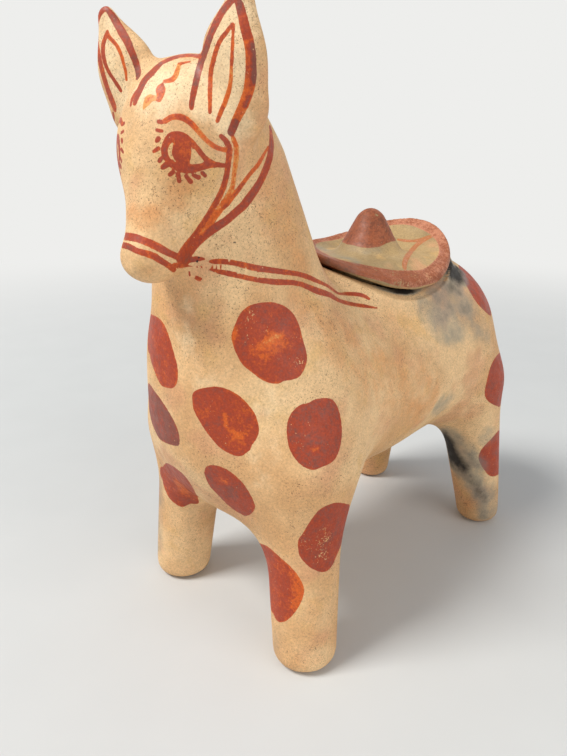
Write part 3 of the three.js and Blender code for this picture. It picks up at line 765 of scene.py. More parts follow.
EAR_SHADES = [
    (-1.3, [(252.5, 44, 4), (255, 56, 5), (255.5, 68, 6), (254.5, 82, 6)]),
    (-1.0, [(250, 96, 4), (245, 106, 4)]),
]
RIGHT_EAR_STROKES = [
    (RED, [(107, 7, 3), (103, 9, 6), (99, 14, 5.5), (96.5, 22, 4.5), (96, 32, 4), (96.5, 42, 4),
           (98, 52, 4), (100, 62, 4), (102.5, 72, 4), (105, 81, 4), (108, 90, 4), (111, 98, 4.5),
           (114, 106, 4), (115, 111, 2)]),
    (-0.5, [(107, 9, 4), (111, 14, 6), (115, 20, 7), (119, 27, 7.5), (123, 34, 8), (127, 41, 7.5),
            (130, 48, 7), (133, 55, 6.5)]),
    (-0.9, [(133, 55, 6.5), (136, 63, 6), (138, 70, 5.5), (138, 76, 4), (137, 79, 2)]),
    (RED, [(107.5, 31, 2), (106, 36, 3.5), (103.5, 43, 3.5), (103, 51, 3.5), (104, 59, 3.5),
           (106.5, 67, 3), (110, 74, 3), (114, 80, 3), (118, 86, 3), (121, 91, 2.5)]),
    (0.3, [(107.5, 31, 2), (109, 37, 3.5), (113, 41, 3.5), (117, 46, 3.2), (120, 52, 3), (122.5, 59, 2.6),
           (124.5, 67, 2.4), (126, 74, 2.2), (126.5, 80, 1.5)]),
    (-0.4, [(113, 112, 1), (113.5, 117, 1.6), (114, 122, 1)]),
]
FOREHEAD_STROKES = [
    (0.1, [(201, 57, 4), (196, 55, 5), (190, 54, 5.5), (183, 54.3, 5.5), (176, 55.8, 5.5),
           (168, 58.8, 5.5), (161.5, 62, 5)]),
    (-0.4, [(161.5, 62, 5), (157, 66.7, 5.5), (151.7, 72.8, 5.5), (146, 78.5, 5.5), (142, 85, 5.5),
            (139, 92, 5), (136.5, 98, 4.5), (134.5, 104, 3)]),
    (-0.3, [(137.5, 90, 1.5), (134, 95, 2), (131.5, 101, 1.8), (130.5, 106, 1)]),
    (0.5, [(190, 61.7, 1), (184, 62.8, 1.8), (179, 64.4, 3)]),
    (1.4, [(179, 64.4, 3), (177.8, 69.4, 4), (175.6, 75.5, 4.5), (172.5, 79.5, 4.5)]),
    (0.9, [(172.5, 79.5, 4.5), (168.5, 80.7, 4), (164.4, 81.3, 2.5)]),
    (0.45, [(163, 83, 1), (161.7, 86.5, 5), (160.7, 90, 9), (160.5, 94, 7), (158.8, 99, 5.5)]),
    (1.5, [(158, 98.5, 4), (153, 98, 5.5), (149.5, 98.7, 7.5), (146.5, 103, 5.5), (143.5, 109, 1)]),
]

# Spots that show whole: their outlines
NECK_SPOT = [(231, 337), (234, 327), (240, 314), (247, 307), (256, 303.5), (270, 302), (281, 304.5),
             (290, 310), (296, 318), (300, 328), (303, 340), (306, 350), (307, 360), (304, 370), (299, 377),
             (291, 380), (284, 381), (279, 383.5), (272, 383.5), (262, 380), (252, 372.5), (243, 365),
             (238, 357), (234, 348)]
CHEST_SPOT = [(192, 397), (193, 392.5), (199, 389), (208, 387.3), (217, 386.5), (227, 389), (235, 393),
              (243, 399), (251, 408), (256, 416), (259, 428), (258, 436), (255, 441), (252, 445),
              (250, 450), (246, 453), (242, 456), (236, 456), (228, 453), (219, 447), (211, 438),
              (203, 427), (196, 415), (193, 407)]
SHOULDER_SPOT = [(286.5, 430), (288, 420), (292, 412), (300, 405), (308, 403), (316, 399), (326, 398),
                 (333, 400), (338, 408), (341, 420), (342, 432), (340.5, 445), (337, 456), (331, 463),
                 (322, 467), (313, 470), (304, 467), (296, 460), (290, 450), (287.5, 440)]
CHEST_LOW_SPOT = [(204, 473), (206, 467), (212, 465), (222, 467), (232, 473), (242, 482), (249, 492),
                  (254, 502), (255, 508), (252, 513), (246, 516), (239, 513), (229, 506), (219, 496),
                  (209, 485)]
WHOLE_SPOTS = [(-0.05, NECK_SPOT), (0.0, CHEST_SPOT), (-0.3, SHOULDER_SPOT), (-0.35, CHEST_LOW_SPOT)]

# Spots that run over the outline: what the photograph shows of each, from one end to the other
THROAT_SPOT = [(151, 314), (155, 316), (160, 319), (165, 326), (170, 339), (174, 353), (177, 364),
               (178, 374), (177, 383), (173, 388), (168, 388), (162, 386), (158, 380), (154, 370),
               (151, 361), (149.5, 353)]
BREAST_SPOT = [(152, 387), (156, 393), (162, 401), (169, 412), (175, 423), (179, 434), (179.5, 444),
               (177, 446), (170, 444.5), (162, 441), (157, 435), (152, 423), (149.5, 412)]
RIGHT_LEG_SPOT = [(162.5, 467), (166, 463), (171, 465), (177, 469), (183, 474), (188, 480), (193, 488),
                  (197, 496), (199, 502), (197, 504), (190, 504), (183, 507), (177, 505), (170, 499),
                  (166, 492), (163.5, 485), (162, 478)]
KNEE_SPOT = [(343.5, 535), (341, 545), (336, 557), (332, 566), (327, 571), (320, 572), (311, 568),
             (304, 562), (299, 554), (298, 541), (303, 533), (311, 520), (319, 510), (328, 505),
             (337, 502.5), (345, 503.5)]
FORELEG_SPOT = [(259, 543), (266, 545.5), (272, 550), (281, 558), (291, 567), (299, 577), (304, 588),
                (303, 597), (298, 608), (291, 617), (284, 622), (277, 621), (273, 613)]
RUMP_TOP_SPOT = [(458, 264), (460, 271), (464, 281), (470.5, 293), (477, 303), (484, 310.5), (490, 316)]
RUMP_SPOT = [(500, 352), (495, 358), (490.5, 367), (487, 380), (484.5, 393), (487, 400), (492, 404),
             (499, 407)]
HIND_LEG_SPOT = [(500, 430), (498, 431), (492, 438), (486, 444), (480.5, 451), (478.5, 458), (481, 465),
                 (485, 471), (489, 475.5), (494, 476.5), (499, 474)]
OUTLINE_SPOTS = [  # tone, what shows, reach beyond the outline in mm
    (-0.05, THROAT_SPOT, 6), (-0.75, BREAST_SPOT, 7), (0.0, RIGHT_LEG_SPOT, 3), (-0.2, KNEE_SPOT, 6),
    (0.0, FORELEG_SPOT, 12), (-0.25, RUMP_TOP_SPOT, 13), (-0.2, RUMP_SPOT, 13), (-0.1, HIND_LEG_SPOT, 11),
]
PAST_OUTLINE = 20  # pixels by which a drawn spot is carried past the donkey's outline

# Places inside the spots: x, y and width in pixels
ORANGE_GLOWS = [
    (0.45, [(258, 350, 16), (270, 344, 20), (284, 346, 12)]),
    (1.5, [(262, 346, 3), (268, 341, 6), (276, 336.5, 7), (284, 337, 3)]),
    (0.8, [(233, 338, 7), (236, 330, 5)]),
    (0.6, [(262, 358, 5), (268, 358, 3)]),
    (1.3, [(226, 416, 3), (225, 422, 4), (226, 428, 3)]),
    (0.8, [(231, 431, 6), (238, 436, 8), (246, 432, 8)]),
    (0.9, [(313, 450, 4), (316, 447, 4), (319, 452, 3)]),
    (0.7, [(177, 480, 6), (183, 487, 10), (187, 493, 8)]),
    (0.5, [(221, 481, 7), (226, 482, 5)]),
    (0.5, [(294, 575, 14), (298, 590, 16), (293, 604, 12)]),
]
WORN_PLACES = [(246, 320, 9, 0.7), (252, 314, 6, 0.9), (238, 330, 5, 0.6), (254, 328, 7, 0.5),
               (300, 362, 8, 0.8), (266, 330, 3, 0.8), (252, 340, 10, 0.4), (325, 540, 12, 1.0),
               (322, 556, 10, 1.0), (324, 528, 6, 0.8), (304, 542, 8, 0.8), (312, 548, 8, 0.7),
               (300, 440, 9, 0.4), (310, 425, 8, 0.35), (285, 590, 12, 0.15)]

# Smoke marks of the firing: strength, then x, y and width in pixels
SMOKE_MARKS = [
    (1.1, [(447, 264, 16), (452, 268, 18), (456, 275, 16), (459, 282, 10)]),
    (0.6, [(438, 283, 12), (447, 285, 18), (456, 290, 16), (463, 297, 12)]),
    (0.5, [(428, 293, 12), (440, 297, 24), (454, 303, 30), (468, 314, 22)]),
    (0.45, [(426, 302, 18), (436, 310, 34), (446, 320, 38), (452, 334, 26)]),
    (0.36, [(462, 318, 26), (474, 326, 24), (484, 336, 14)]),
    (0.5, [(437, 411, 8), (442, 405, 13), (448, 399, 8)]),
    (1.0, [(444, 436, 12), (450, 450, 18), (457, 461, 16), (466, 469, 12)]),
    (0.5, [(447, 434, 16), (456, 446, 26), (466, 458, 26), (476, 466, 20)]),
    (0.62, [(462, 468, 16), (472, 478, 18), (480, 490, 18), (483, 502, 18), (484, 514, 12)]),
    (0.38, [(478, 482, 20), (488, 494, 22), (492, 508, 20)]),
    (0.4, [(484, 440, 12), (489, 433, 12)]),
    (0.4, [(158, 478, 9), (157, 510, 12), (156, 548, 10)]),
    (0.25, [(276, 630, 8), (275, 650, 8)]),
]
BLACK_SPECKS = [(199.3, 252.5, 2.2), (198.8, 257.5, 2.6), (197, 261.5, 2.4), (195, 264.5, 1.8),
                (234.5, 242.5, 2.8), (226, 246, 1.8), (349.5, 358.5, 2.2), (211, 255, 1.4),
                (223, 303.5, 1.6), (188, 471, 2.2), (203, 345, 1.6), (349, 300, 1.4)]

# Spots where the photograph can't look: tone, place on the table's axes, then length, width and lean
HIDDEN_SPOTS = [
    (-0.05, (-43, -90, 158), 38, 34, 20), (-0.2, (-60, -66, 120), 40, 34, -15),
    (0.0, (-44, -92, 112), 24, 22, 10), (0.0, (-57, -8, 140), 46, 36, 30),
    (-0.15, (-56, 44, 112), 40, 30, -20), (-0.3, (-47, 76, 162), 40, 30, 35),
    (0.05, (-52, 106, 116), 38, 28, -10), (0.05, (12, 131, 108), 32, 25, 15),
    (-0.1, (24, 125, 146), 34, 26, -25), (-0.2, (-26, 128, 92), 30, 22, 10),
    (0.0, (-56, 118, 48), 34, 22, 5), (-0.1, (-68, -80, 58), 36, 24, 10),
    (-0.3, (-22, -34, 208), 32, 26, 30), (0.0, (16, -40, 224), 24, 20, -20),
    (-0.1, (-34, 26, 82), 34, 24, -30),
]

# Paler and warmer clay: strength, negative where paler, then x, y and width in pixels
TINTS = [
    (-1.0, [(150, 100, 40), (180, 82, 50), (205, 92, 44)]),
    (-1.0, [(238, 10, 30), (229, 50, 46), (225, 100, 44), (240, 130, 30)]),
    (-1.0, [(108, 22, 22), (112, 60, 34), (122, 100, 26)]),
    (-0.5, [(182, 300, 20), (190, 350, 26), (205, 380, 22)]),
    (-0.5, [(265, 395, 22), (272, 430, 26), (262, 470, 26)]),
    (0.9, [(138, 218, 30), (160, 205, 36), (185, 192, 26)]),
    (0.6, [(135, 262, 22), (160, 275, 22)]),
    (0.5, [(262, 190, 30), (285, 235, 36), (300, 262, 24)]),
    (0.55, [(300, 300, 30), (350, 350, 50), (420, 400, 60)]),
    (0.5, [(480, 490, 16), (470, 505, 20)]),
    (0.35, [(315, 600, 24), (312, 640, 30), (300, 660, 24)]),
]

# The lid's paint
BAND_TONE = 0.2
BAND_SHADE_DRIFT = 0.5  # from the brim's front to its rear: painted shade, darker at the front where the neck shades the band, lighter at the rear
CROWN_TONE = -0.3
RIM_PAINT_WAVE = 0.3
PALE_INSIDE = [(341, 238.8), (331, 240.6), (321, 242.4), (316, 245), (318, 249), (325, 253.5), (332, 256.8),
               (340, 259.6), (351, 262.2), (361, 264), (371, 266), (380, 267.8), (388, 269.3), (396, 270.3),
               (405, 270.5), (415, 270.5), (424, 268.5), (430, 265), (434, 261), (438, 255.5), (439, 249),
               (437.5, 243), (434, 238), (428, 233), (420, 229), (412, 226), (404, 224.5), (396, 224.5),
               (389.5, 225.5)]
LID_ARCS = [
    (1.6, [(431, 236.5, 2.5), (427, 237.5, 3), (420, 240, 2.5), (412, 241, 2), (404, 240.5, 2),
           (398, 239.5, 1.5)]),
    (1.6, [(431, 236.5, 2.5), (424, 240, 3), (418, 244, 3.5), (413, 249, 4), (409, 254, 4.5), (406, 259, 5),
           (404.5, 265, 4.5), (405, 268, 3)]),
]
CROWN_PAINT_EDGE = [(343, 242.5), (348, 244.5), (352, 245), (360, 247), (367, 248), (374, 247.5),
                    (380, 246.5), (385, 244), (390, 242), (395, 241)]
# The lower edge of the rim's paint: degrees round the mouth, and height above the brim's middle
RIM_PAINT_LOW = [(-60, -0.5), (60, -0.5), (80, 1.1), (95, 1.5), (135, 1.5), (155, 0.2), (170, -3), (200, -3)]
# Painted shade on the lid: along the valley at the crown's foot, on the band's front where the neck shades
# it, and at the crown's lower left. Strength, then x, y and width in pixels
LID_PAINTED_SHADE = [
    (0.45, [(316, 247, 4), (328, 252, 5), (342, 257, 4), (358, 262, 3)]),
    (0.3, [(325, 262, 8), (340, 268, 10), (352, 272, 9)]),
    (0.25, [(350, 249, 8), (364, 252, 8), (378, 251, 6)]),
]
# Worn places on the lid, and in the last row a painted highlight: a pale fleck at the crown's tip
LID_WEAR_AND_HIGHLIGHT = [(401, 283, 6, 1.3), (396, 284, 5, 1.0), (408, 285, 4, 1.0), (428, 276, 6, 0.9),
                   (394, 273, 7, 0.8), (415, 275, 12, 0.5), (372, 268, 8, 0.6), (376.5, 215, 2.2, 2.0)]


# Painting

def laid_lines(toned_lines, distance):
    """Each line's tone, with its smooth curve as pixels, places on the surface and half widths."""
    tones, lines = zip(*toned_lines)
    curves = [smooth_curve(line, 4) for line in lines]
    every = np.vstack(curves)
    places = on_clay(every[:, :2], distance)
    halves = (every[:, 2] + STROKE_SPREAD) / 2 * pixel_size(places)
    cuts = np.cumsum([len(curve) for curve in curves])[:-1]
    return list(zip(tones, zip(*(np.split(values, cuts) for values in (every[:, :2], places, halves)))))


def polygon_distance(corners, flat):
    """Distance of flat points from a closed outline, negative inside it."""
    away = np.full(len(flat), np.inf)
    inside = np.zeros(len(flat), bool)
    for a, b in zip(corners, np.roll(corners, -1, axis=0)):
        away = np.minimum(away, segment_distance(flat, a, b)[0])
        crosses = (a[1] > flat[:, 1]) != (b[1] > flat[:, 1])
        x = a[0] + (flat[:, 1] - a[1]) * (b[0] - a[0]) / (b[1] - a[1] + 1e-12)
        inside ^= crosses & (flat[:, 0] < x)
    return np.where(inside, -away, away)


LAYERS = ("area", "tone", "wear_and_highlight", "smoke_and_shade", "tint", "speck")


class Paint:
    """Painted areas of one mesh, held as layers of floats on its vertices."""

    def __init__(self, mesh, distance):
        self.mesh = mesh
        self.distance = distance
        self.points = points_of(mesh)
        self.normals = unit(slopes(distance, self.points))
        self.facing = facing_camera(self.points, self.normals)
        count = len(self.points)
        self.area = np.full(count, FAR)  # distance from the painted edge, negative inside
        self.tone = np.zeros(count)
        self.wear_and_highlight = np.zeros(count)
        # smoke of the firing, and painted shade under and on the lid
        self.smoke_and_shade = np.zeros(count)
        self.tint = np.zeros(count)
        self.speck = np.full(count, FAR)

    def seen(self, places, reach, mirror=None):
        """Vertices near some places, with their points, normals and facing, or their mirror images'."""
        points = mirror(self.points) if mirror else self.points
        inside = (points > places.min(0) - reach) & (points < places.max(0) + reach)
        chosen = np.flatnonzero(inside.all(1))
        normals = self.normals[chosen]
        if mirror:
            normals = mirror(normals) - mirror(np.zeros((1, 3)))
        return chosen, points[chosen], normals, facing_camera(points[chosen], normals)

    def line_distance(self, line, mirror=None):
        """Distance from a brush line's edge. It is taken in the photograph where the surface faces it."""
        pixels, places, halves = line
        chosen, points, normals, facing = self.seen(places, halves.max() + FAR, mirror)
        flat = photo_place(points)
        scale = pixel_size(points)
        outward = unit(slopes(self.distance, places))
        solid = np.full(len(points), FAR)
        shown = np.full(len(points), FAR)
        for n in range(len(places) - 1):
            away, share = segment_distance(points, places[n], places[n + 1])
            half = halves[n] + (halves[n + 1] - halves[n]) * share
            turned_away = np.clip(TURNED_AWAY - normals @ outward[n], 0, 1)
            solid = np.minimum(solid, away - half + TURNED_AWAY_FADE * turned_away)
            flat_away, share = segment_distance(flat, pixels[n], pixels[n + 1])
            half = halves[n] + (halves[n + 1] - halves[n]) * share
            shown = np.minimum(shown, np.where(away < half + DRAWN_REACH, flat_away * scale - half, FAR))
        return chosen, solid + (shown - solid) * ramp(facing, *DRAWN_FACING)

    def shape_distance(self, outline, mirror=None):
        """Distance from an outline drawn in the photograph, at the vertices that show near it."""
        outline = smooth_curve(outline + outline[:1], 4)[:-1]
        chosen, points, _, facing = self.seen(on_clay(outline, self.distance), SPOT_MARGIN, mirror)
        shown = facing > SPOT_FACING[0]
        chosen, points = chosen[shown], points[shown]
        return chosen, polygon_distance(outline, photo_place(points)) * pixel_size(points)

    def outline_spot(self, drawn, reach):
        """Distance from a spot that runs over the outline: as drawn where it shows, half an oval beyond."""
        drawn = smooth_curve(drawn, 4)
        places = on_clay(drawn, self.distance)
        middle = on_clay(drawn[[0, -1]].mean(0)[None], self.distance)[0]
        beyond = unit(middle - CAMERA_PLACE)
        out = slopes(self.distance, middle[None])[0]
        out = unit(out - (out @ beyond) * beyond)
        axes = np.column_stack([np.cross(out, beyond), beyond])
        flat = (places - middle) @ axes
        half = (flat[-1] - flat[0]) / 2
        sideways = unit(np.array([-half[1], half[0]])) * np.sign(half[0])
        turn = np.radians(SPOT_STEPS)[:, None]
        closing = (flat[0] + flat[-1]) / 2 + np.cos(turn) * half + np.sin(turn) * reach * sideways
        chosen, points, normals, facing = self.seen(places, reach + SPOT_MARGIN)
        near = (normals @ out > 0) | (facing > SPOT_FACING[0])
        chosen, points, facing = chosen[near], points[near], facing[near]
        beyond_edge = polygon_distance(np.vstack([flat, closing]), (points - middle) @ axes)
        away = PAST_OUTLINE * unit(np.array([out @ RIGHT, -out @ UP]))
        carried = np.vstack([drawn, drawn[-1] + away, drawn[0] + away])
        shown_edge = polygon_distance(carried, photo_place(points)) * pixel_size(points)
        return chosen, beyond_edge + (shown_edge - beyond_edge) * ramp(facing, *SPOT_FACING)

    def lay(self, chosen, edge, tone):
        deeper = edge < self.area[chosen]
        self.tone[chosen] = np.where(deeper, tone, self.tone[chosen])
        self.area[chosen] = np.minimum(self.area[chosen], edge)

    def clear(self, chosen, edge):
        self.area[chosen] = np.maximum(self.area[chosen], -edge)

    def strokes(self, toned_lines, mirror=None, keep_shown=False):
        """Lays strokes, or their mirror images, which may leave alone what the photograph shows."""
        hidden = self.facing < HIDDEN_FACING
        for tone, line in laid_lines(toned_lines, self.distance):
            chosen, edge = self.line_distance(line)
            self.lay(chosen, edge, tone)
            if mirror:
                chosen, edge = self.line_distance(line, mirror)
                kept = hidden[chosen] | (not keep_shown)
                self.lay(chosen[kept], edge[kept], tone)

    def soft_lines(self, weighted_lines, softness):
        """For each line, the vertices near it and how far they are into its soft edge, from 0 to 1."""
        for weight, line in laid_lines(weighted_lines, self.distance):
            chosen, edge = self.line_distance(line)
            share = ramp(edge, softness / 2, -softness / 2)
            yield weight, chosen, share * share * (3 - 2 * share)

    def blend_in(self, values, toned_lines, softness):
        """Draws a layer's values towards each line's own: other tones inside paint, or other clay."""
        for tone, chosen, share in self.soft_lines(toned_lines, softness):
            values[chosen] += (tone - values[chosen]) * share

    def smoke_and_shade_marks(self, marks, softness):
        for strength, chosen, share in self.soft_lines(marks, softness):
            self.smoke_and_shade[chosen] = np.maximum(self.smoke_and_shade[chosen], strength * share)

    def round_marks(self, rows):
        """Each round mark's last value, its radius, and the vertices' distances from its middle."""
        rows = column(rows)
        places = on_clay(rows[:, :2], self.distance)
        for place, radius, row in zip(places, rows[:, 2] * pixel_size(places), rows):
            yield row[-1], radius, length(self.points - place)

    def wear_and_highlight_places(self, rows):
        for strength, radius, away in self.round_marks(rows):
            self.wear_and_highlight = np.maximum(self.wear_and_highlight, strength * np.clip(WEAR_AND_HIGHLIGHT_EDGE - away / radius, 0, 1))

    def black_specks(self, rows):
        for _, width, away in self.round_marks(rows):
            self.speck = np.minimum(self.speck, away - width / 2)

    def oval_spot(self, tone, near, size, width, lean):
        """An egg on the surface where the photograph can't look, from its place and sizes."""
        place = settle(self.distance, column([near]), 12)[0]
        out = unit(slopes(self.distance, place[None])[0])
        level = unit(np.cross([0, 0, 1], out))
        upward = np.cross(out, level)
        c, s = np.cos(np.radians(lean)), np.sin(np.radians(lean))
        chosen, points, normals, _ = self.seen(place[None], size)
        shown = normals @ out > 0
        chosen, q = chosen[shown], points[shown] - place
        u, v = q @ (c * level + s * upward), q @ (c * upward - s * level)
        u = u / (1 + EGG_TAPER * v / size)
        share = np.hypot(u / (width / 2), v / (size / 2)) + 1e-9
        around = np.arctan2(u, v)
        ripple = 1 + EGG_LOBES * np.sin(3 * around + size) + EGG_RIPPLES * np.sin(7 * around)
        slope = np.hypot(u / (width / 2) ** 2, v / (size / 2) ** 2) / share + 1e-9
        self.lay(chosen, (share - ripple) / slope, tone)

    def store(self):
        for name in LAYERS:
            attribute = self.mesh.attributes.new(name, "FLOAT", "POINT")
            attribute.data.foreach_set("value", getattr(self, name).astype(np.float32))


def on_other_side_of_head(points):
    return turned(mirrored(turned(points, -HEAD_TURN)), HEAD_TURN)


def lay_strokes(paint):
    """The bridle, eyes, ears and forelock. What the right side shares with the left is mirrored."""
    paint.strokes(FOREHEAD_STROKES + LEFT_EAR_STROKES + RIGHT_EAR_STROKES)
    paint.strokes(EYE_STROKES, on_other_side_of_head)
    paint.strokes(BRIDLE_STROKES + NOSEBAND_STROKES, on_other_side_of_head, keep_shown=True)
    paint.strokes(REIN_STROKES, mirrored)


def lay_eye(paint, mirror):
    paint.lay(*paint.shape_distance(EYE_OUTLINE, mirror), EYE_TONE)
    paint.clear(*paint.shape_distance(EYE_WHITE, mirror))
    (_, glint), = laid_lines([(RED, EYE_GLINT)], paint.distance)
    paint.clear(*paint.line_distance(glint, mirror))


def groove_painted_shade(points):
    """Painted shade in the groove under the brim, from 0 to 1: colour darkened where the recess lies in
    shadow. It is thickest in the gap, which it paints black.
    """
    below = underside(points[:, 0], points[:, 1]) - points[:, 2]
    open_share = ramp(gap_opening(points), 0, 0.4 * GAP_DROP)
    edge = GROOVE_SHARES[3] + 0.03 + 0.02 * open_share
    near = ramp(rim_share(points), edge, edge - GROOVE_SHADE_EDGE) * (below < GROOVE_SHADE_FLOOR)
    return ramp(below, *GROOVE_SHADE_DEPTHS) * near * (GROOVE_SHADE_THIN + (1 - GROOVE_SHADE_THIN) * open_share)


def lay_spots(paint):
    for tone, outline in WHOLE_SPOTS:
        paint.lay(*paint.shape_distance(outline), tone)
    for tone, drawn, reach in OUTLINE_SPOTS:
        paint.lay(*paint.outline_spot(drawn, reach), tone)
    for spot in HIDDEN_SPOTS:
        paint.oval_spot(*spot)


def paint_donkey(paint):
    lay_spots(paint)
    lay_eye(paint, None)
    lay_eye(paint, on_other_side_of_head)
    lay_strokes(paint)
    paint.blend_in(paint.tone, ORANGE_GLOWS + EAR_SHADES + IRIS_GLOW, GLOW_SOFTNESS)
    paint.wear_and_highlight_places(WORN_PLACES)
    paint.smoke_and_shade_marks(SMOKE_MARKS, SMOKE_SOFTNESS)
    # painted shade: the groove and the gap under the brim are darkened in colour, standing in for their
    # shadow
    paint.smoke_and_shade = np.maximum(paint.smoke_and_shade, groove_painted_shade(paint.points))
    paint.blend_in(paint.tint, TINTS, TINT_SOFTNESS)
    paint.black_specks(BLACK_SPECKS)
    paint.store()


def angle_round(middle, points):
    across, along = (points[:, :2] - middle).T
    return np.arctan2(across, along)


def edge_value(middle, edge, values, points):
    """What a value known along an edge is at the same angle round its middle as each point."""
    return np.interp(angle_round(middle, points), angle_round(middle, edge), values, period=2 * np.pi)


def rim_band(points):
    """Distance from the red band round the brim: in from the pale inside, and up from its lower edge."""
    inner = on_clay(smooth_curve(PALE_INSIDE, 3), brim_distance)
    inner_share = edge_value(MOUTH, inner, rim_share(inner), points)
    inward = (inner_share - rim_share(points)) * BRIM_RADII.min()
    around = angle_round(MOUTH, points)
    first = RIM_PAINT_LOW[0][0]
    low_edge = np.interp((np.degrees(around) - first) % 360 + first, *column(RIM_PAINT_LOW).T)
    low_edge += RIM_PAINT_WAVE * (np.sin(3 * around) + np.sin(8 * around + 1))
    height = points[:, 2] - brim_middle(points[:, 0], points[:, 1])
    return np.maximum(inward, low_edge - height)


def painted_crown(points):
    foot = on_clay(smooth_curve(CROWN_PAINT_EDGE, 3), lid_distance)
    beyond = length(points[:, :2] - CROWN_PLACE) > 1.1 * CROWN_RADIUS
    return edge_value(CROWN_PLACE, foot, foot[:, 2], points) - points[:, 2] + FAR * beyond


def paint_lid(paint):
    everywhere = np.arange(len(paint.points))
    paint.lay(everywhere, rim_band(paint.points), BAND_TONE)
    # painted shade: the band's tone darkens towards the front, where the neck shades it
    paint.tone += BAND_SHADE_DRIFT * (paint.points[:, 1] - MOUTH[1]) / BRIM_RADII[1]
    paint.lay(everywhere, painted_crown(paint.points), CROWN_TONE)
    paint.strokes(LID_ARCS)
    # painted shade on the brim
    paint.smoke_and_shade_marks(LID_PAINTED_SHADE, LID_PAINTED_SHADE_SOFTNESS)
    # worn places, and the painted highlight at the crown's tip
    paint.wear_and_highlight_places(LID_WEAR_AND_HIGHLIGHT)
    paint.store()


# Materials

def srgb(red, green, blue):
    share = column([red, green, blue]) / 255
    linear = np.where(share <= 0.04045, share / 12.92, ((share + 0.055) / 1.055) ** 2.4)
    return (*linear, 1)


class Graph:
    """The nodes of a material or world. Each call adds one node and returns its output."""

    def __init__(self, owner):
        self.owner = owner
        owner.use_nodes = True
        self.tree = owner.node_tree
        self.tree.nodes.clear()
        self.millimetres = None

    def node(self, kind, inputs, **settings):
        made = self.tree.nodes.new(kind)
        for key, value in settings.items():
            setattr(made, key, value)
        for key, value in inputs.items():
            if isinstance(value, bpy.types.NodeSocket):
                self.tree.links.new(value, made.inputs[key])
            else:
                made.inputs[key].default_value = value
        return made

    def math(self, operation, a, b=0.0, c=0.0):
        return self.node("ShaderNodeMath", {0: a, 1: b, 2: c}, operation=operation).outputs[0]

    def times(self, a, b):
        return self.math("MULTIPLY", a, b)

    def place(self):
        """The point on the object, in millimetres."""
        if self.millimetres is None:
            inputs = {0: self.node("ShaderNodeTexCoord", {}).outputs["Object"], "Scale": 1 / MM}
            self.millimetres = self.node("ShaderNodeVectorMath", inputs, operation="SCALE").outputs[0]
        return self.millimetres

    def noise(self, size, detail=2.0, roughness=0.5):
        inputs = {"Vector": self.place(), "Scale": 1 / size, "Detail": detail, "Roughness": roughness}
        return self.node("ShaderNodeTexNoise", inputs).outputs["Fac"]

    def cells(self, size):
        inputs = {"Vector": self.place(), "Scale": 1 / size}
        return self.node("ShaderNodeTexVoronoi", inputs).outputs["Distance"]

    def step(self, value, start, end, low=0.0, high=1.0):
        inputs = {0: value, 1: start, 2: end, 3: low, 4: high}
        return self.node("ShaderNodeMapRange", inputs, interpolation_type="SMOOTHSTEP").outputs[0]

    def mix(self, share, a, b, blend="MIX"):
        made = self.node("ShaderNodeMix", {0: share, 6: a, 7: b}, data_type="RGBA", blend_type=blend)
        return made.outputs[2]

    def layer(self, name):
        return self.node("ShaderNodeAttribute", {}, attribute_name=name).outputs["Fac"]

    def seen_rays(self):
        """1 for what the camera sees, directly, mirrored or through glass."""
        rays = self.node("ShaderNodeLightPath", {}).outputs
        mirrored_rays = self.math("MAXIMUM", rays["Is Glossy Ray"], rays["Is Transmission Ray"])
        return self.math("MAXIMUM", rays["Is Camera Ray"], mirrored_rays)

    def surface(self, colour, roughness, height, depth):
        bump = self.node("ShaderNodeBump", {"Height": height, "Distance": depth * MM, "Strength": 1.0})
        inputs = {"Base Color": colour, "Roughness": roughness, "Normal": bump.outputs[0]}
        shader = self.node("ShaderNodeBsdfPrincipled", inputs)
        shader.inputs["Specular IOR Level"].default_value = 0.35
        self.node("ShaderNodeOutputMaterial", {"Surface": shader.outputs[0]})
        return self.owner


CREAM = srgb(236, 197, 146)
TAN = srgb(216, 168, 116)
PINK = srgb(216, 160, 116)
STRAW = srgb(224, 178, 112)
PALE = srgb(246, 218, 174)
WARM = srgb(222, 156, 98)
# The lid's clay: an olive cream of its own, made darker than the donkey's clay as painted shade of the
# brim's inside
LID_OLIVE_SHADED = srgb(158, 134, 94)
LID_CREAM_SHADED = srgb(186, 156, 108)
GRIT_BROWN = srgb(100, 60, 34)
# Grey and black of firing smoke, also used for painted shade under and on the lid
SMOKE_AND_SHADE_GREY = srgb(122, 130, 124)
SMOKE_AND_SHADE_BLACK = srgb(27, 22, 19)
BACKDROP = srgb(238, 238, 236)


def scaled(graph, colour, share):
    grey = graph.node("ShaderNodeCombineColor", {0: share, 1: share, 2: share}).outputs[0]
    return graph.mix(1.0, colour, grey, "MULTIPLY")


def hairlines(graph, size, width):
    """Short thin cracks, from 0 to 1."""
    off_line = graph.math("ABSOLUTE", graph.math("SUBTRACT", graph.noise(size, 3, 0.6), 0.5))
    line = graph.step(off_line, width, width * 0.3)
    return graph.times(line, graph.step(graph.noise(size * 0.9, 1), 0.58, 0.66))


def dots(graph, spacing, radius, sparse):
    """Round specks with soft edges, missing wherever a wider noise is below the sparse level."""
    spots = graph.step(graph.cells(spacing), radius * 1.5, radius * 0.8)
    return graph.times(spots, graph.step(graph.noise(spacing * 1.6, 1), sparse, sparse + 0.08))


